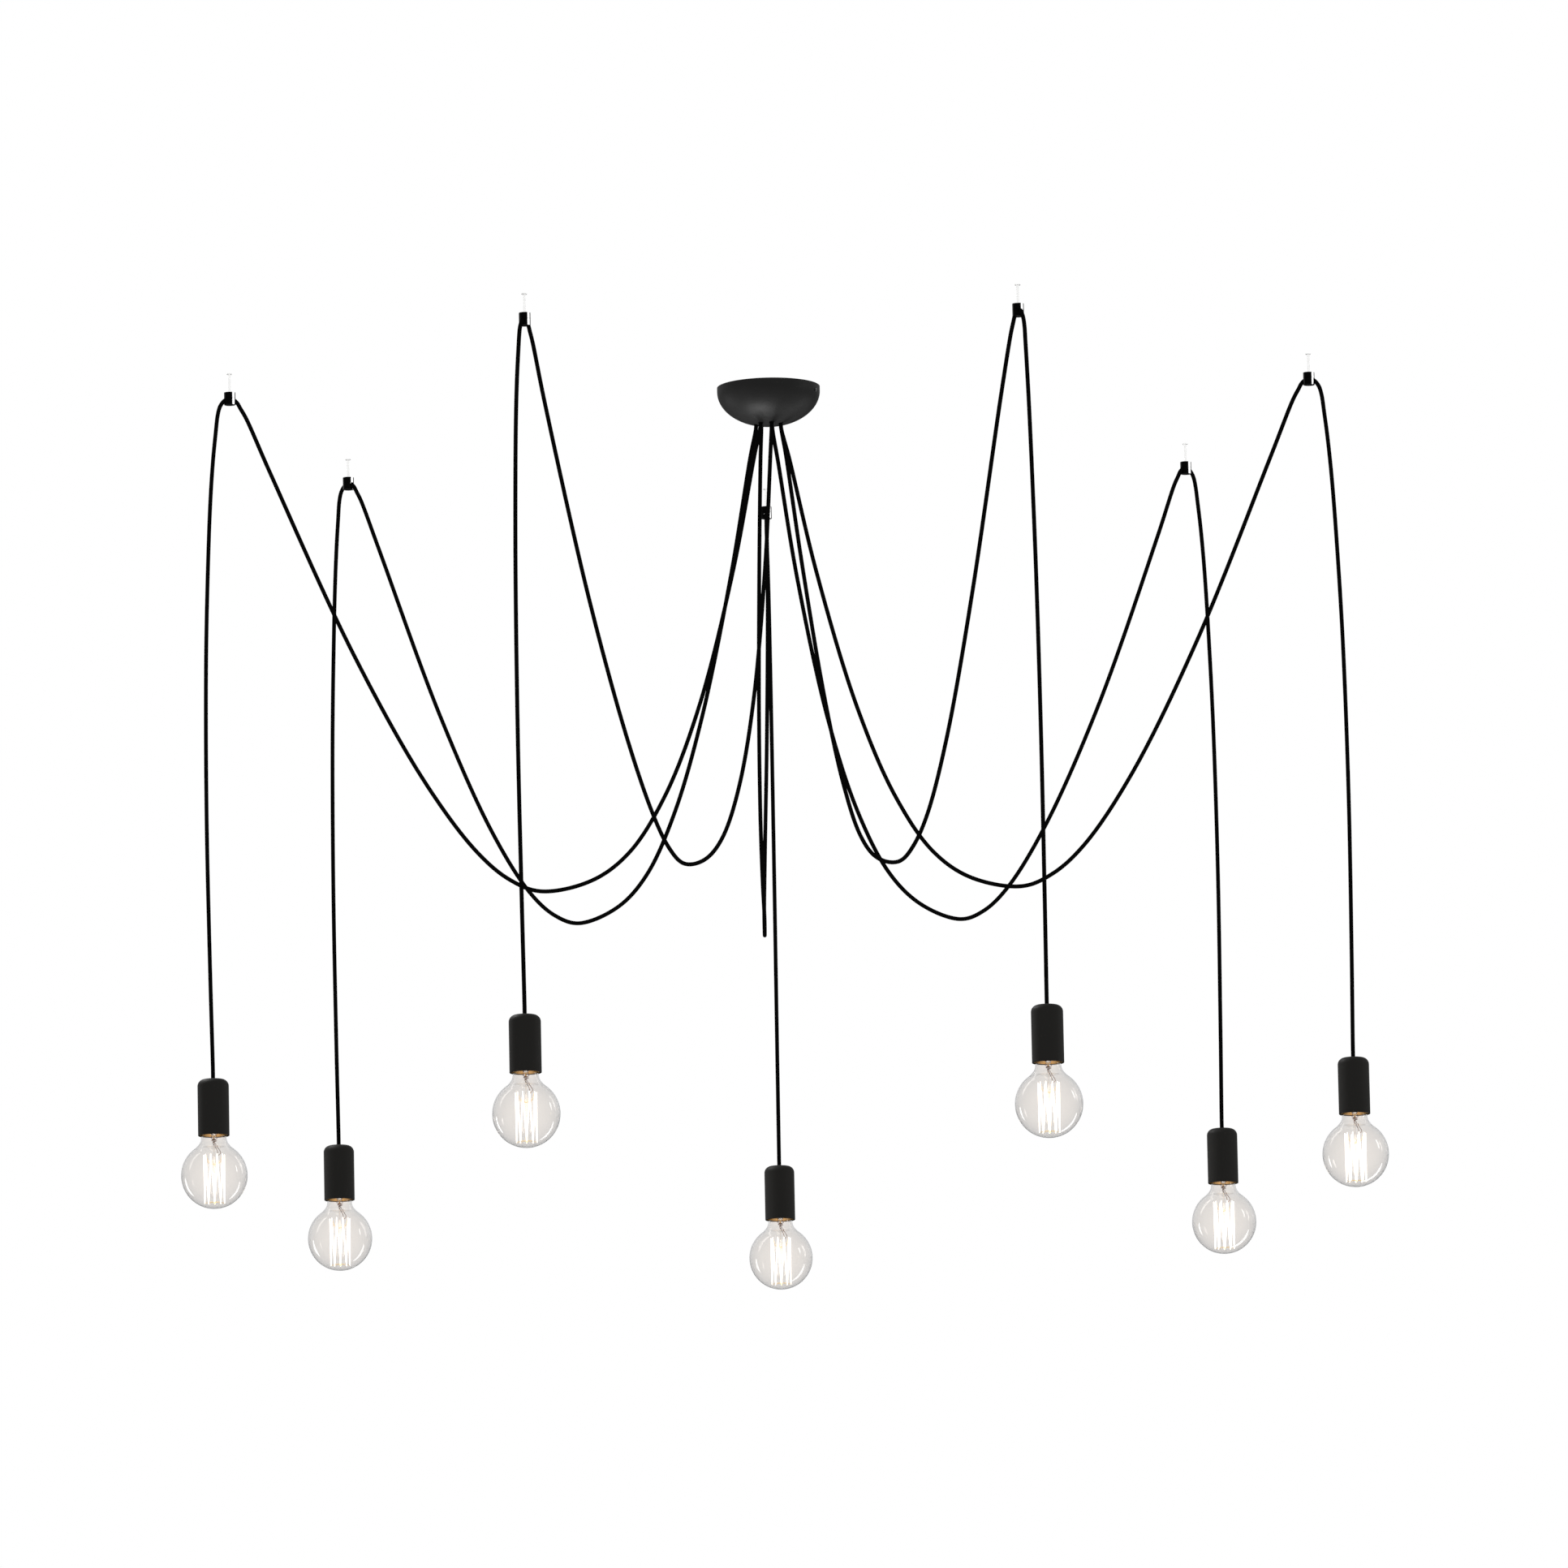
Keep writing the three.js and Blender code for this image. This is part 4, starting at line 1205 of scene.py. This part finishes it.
# Cast glass slag, nearly black with a violet cast and small flow marks.
place = add_node(tree, "ShaderNodeTexCoord")
flow = add_node(tree, "ShaderNodeTexNoise", {"Vector": place.outputs["Object"], "Scale": 1 / (3 * MM)})
rough = add_node(tree, "ShaderNodeMapRange", {"Value": flow.outputs["Fac"], "To Min": 0.1, "To Max": 0.3})
tree.links.new(rough.outputs["Result"], shader.inputs["Roughness"])
shader.inputs["Base Color"].default_value = colour("#15121a")

solder, tree, shader = start_material("lead_free_solder")
# A cooled drop of solder, grey and slightly dimpled.
place = add_node(tree, "ShaderNodeTexCoord")
dimples = add_node(tree, "ShaderNodeTexNoise", {"Vector": place.outputs["Object"], "Scale": 1 / (2 * MM)})
dent = add_node(
    tree, "ShaderNodeBump", {"Height": dimples.outputs["Fac"], "Strength": 0.5, "Distance": 0.2 * MM}
)
tree.links.new(dent.outputs["Normal"], shader.inputs["Normal"])
shader.inputs["Base Color"].default_value = colour("#a9abae")
shader.inputs["Metallic"].default_value = 1.0
shader.inputs["Roughness"].default_value = 0.35

lead_wire, tree, shader = start_material("oxidised_lead_wire")
# Copper-clad lead wire, browned by the heat of sealing.
place = add_node(tree, "ShaderNodeTexCoord")
oxide = add_node(tree, "ShaderNodeTexNoise", {"Vector": place.outputs["Object"], "Scale": 1 / (3 * MM)})
tint = add_node(tree, "ShaderNodeMix", {"Factor": oxide.outputs["Fac"]}, data_type="RGBA")
tint.inputs["A"].default_value = colour("#84563f")
tint.inputs["B"].default_value = colour("#b68a70")
tree.links.new(tint.outputs["Result"], shader.inputs["Base Color"])
shader.inputs["Metallic"].default_value = 0.2
shader.inputs["Roughness"].default_value = 0.5

hook_wire_painted_glow, tree, shader = start_material("drawn_molybdenum_wire")
# Fine pale support wire with faint streaks and a painted dull gold glow for the hot filament's light.
place = add_node(tree, "ShaderNodeTexCoord")
streak = add_node(tree, "ShaderNodeTexNoise", {"Vector": place.outputs["Object"], "Scale": 1 / (2 * MM)})
rough = add_node(
    tree, "ShaderNodeMapRange", {"Value": streak.outputs["Fac"], "To Min": 0.25, "To Max": 0.4}
)
tree.links.new(rough.outputs["Result"], shader.inputs["Roughness"])
shader.inputs["Base Color"].default_value = colour("#d6c29a")
shader.inputs["Metallic"].default_value = 0.5
# Painted glow: a dull gold emission in place of the filament's light on the wire.
shader.inputs["Emission Color"].default_value = colour("#e3b96a")
shader.inputs["Emission Strength"].default_value = 0.5

glow, tree, shader = start_material("glowing_carbon_filament")
# A lit filament: white hot, and a little yellower in places along its wire.
place = add_node(tree, "ShaderNodeTexCoord")
flicker = add_node(tree, "ShaderNodeTexNoise", {"Vector": place.outputs["Object"], "Scale": 1 / (12 * MM)})
warm = add_node(tree, "ShaderNodeMix", {"Factor": flicker.outputs["Fac"]}, data_type="RGBA")
warm.inputs["A"].default_value = colour("#fff0dc")
warm.inputs["B"].default_value = colour("#fffaf2")
tree.links.new(warm.outputs["Result"], shader.inputs["Emission Color"])
shader.inputs["Emission Strength"].default_value = 3.0
shader.inputs["Base Color"].default_value = colour("#3a2a20")
glow.cycles.emission_sampling = "NONE"


def cage_point(step, height):
    """A place on the cage's ring of hooks, its turn counted from the front."""
    angle = 2 * math.pi * step / strand_count + cage_turn
    return Vector((cage_radius * math.sin(angle), -cage_radius * math.cos(angle), height))


zigzag = [cage_point(step, cage_low if step % 2 else cage_high) for step in range(strand_count + 1)]
strands = [tube("strand", [a, b], strand_radius, 8) for a, b in zip(zigzag, zigzag[1:])]
filament = joined("filament", *strands)
hub_high, hub_low = Vector((0, 0, stem_tip + 1 * MM)), Vector((0, 0, cage_low + 2 * MM))
hooks = []
for step, tip in enumerate(zigzag[:-1]):
    hub = hub_low if step % 2 else hub_high
    elbow = hub.lerp(tip, 0.6)
    elbow.z = hub.z + (tip.z - hub.z) * 0.25
    hooks.append(tube("hook", smooth_line([hub, elbow, tip], 2 * MM), hook_radius, 6))
hooks = joined("hooks", *hooks)
lead_ways = (
    [(-2.0, -1096), (-1.5, -1108), (-3.8, -1116.5), (2.8, -1118), (-3.4, -1119.8), (2.6, -1121.3),
     (-1.2, -1123), (0.2, -1126), (3.4, -1131), (5.2, -1136)],
    [(2.0, -1096), (1.5, -1108), (4.4, -1116.8), (-2.6, -1118.6), (4.2, -1120.2), (-1.4, -1122),
     (1.8, -1124), (3.4, -1127), (7.8, -1133), (9.4, -1137)],
)
leads = []
for way, tip, lean in zip(lead_ways, (zigzag[0], zigzag[8]), (-0.9, 0.9)):
    turns = [
        Vector((out * MM, lean * MM * (-1) ** step, height * MM)) for step, (out, height) in enumerate(way)
    ]
    leads.append(tube("lead", smooth_line([*turns, tip], 1 * MM), lead_radius, 8))
leads = joined("leads", *leads)
for number in ARMS:
    spot = lamp_place(number)
    node = f"bulb_base_{number}"
    for model, material, slot in (
        (screw_cap, brass, "brass"),
        (insulator, vitrite, "brass"),
        (contact, solder, "brass"),
        (stem, stem_glass, "clear_glass"),
        (rod, rod_glass_painted_glow, "clear_glass"),
        (hooks, hook_wire_painted_glow, "brass"),
        (leads, lead_wire, "brass"),
        (filament, glow, "brass"),
    ):
        made = copied(model, f"bulb_{model.name}_{number}", spot)
        dress(made, material, f"bulb_cap_{number}", slot, node)
for model in (screw_cap, insulator, contact, stem, rod, hooks, leads, filament):
    bpy.data.objects.remove(model)

bpy.context.scene.view_settings.view_transform = "Standard"
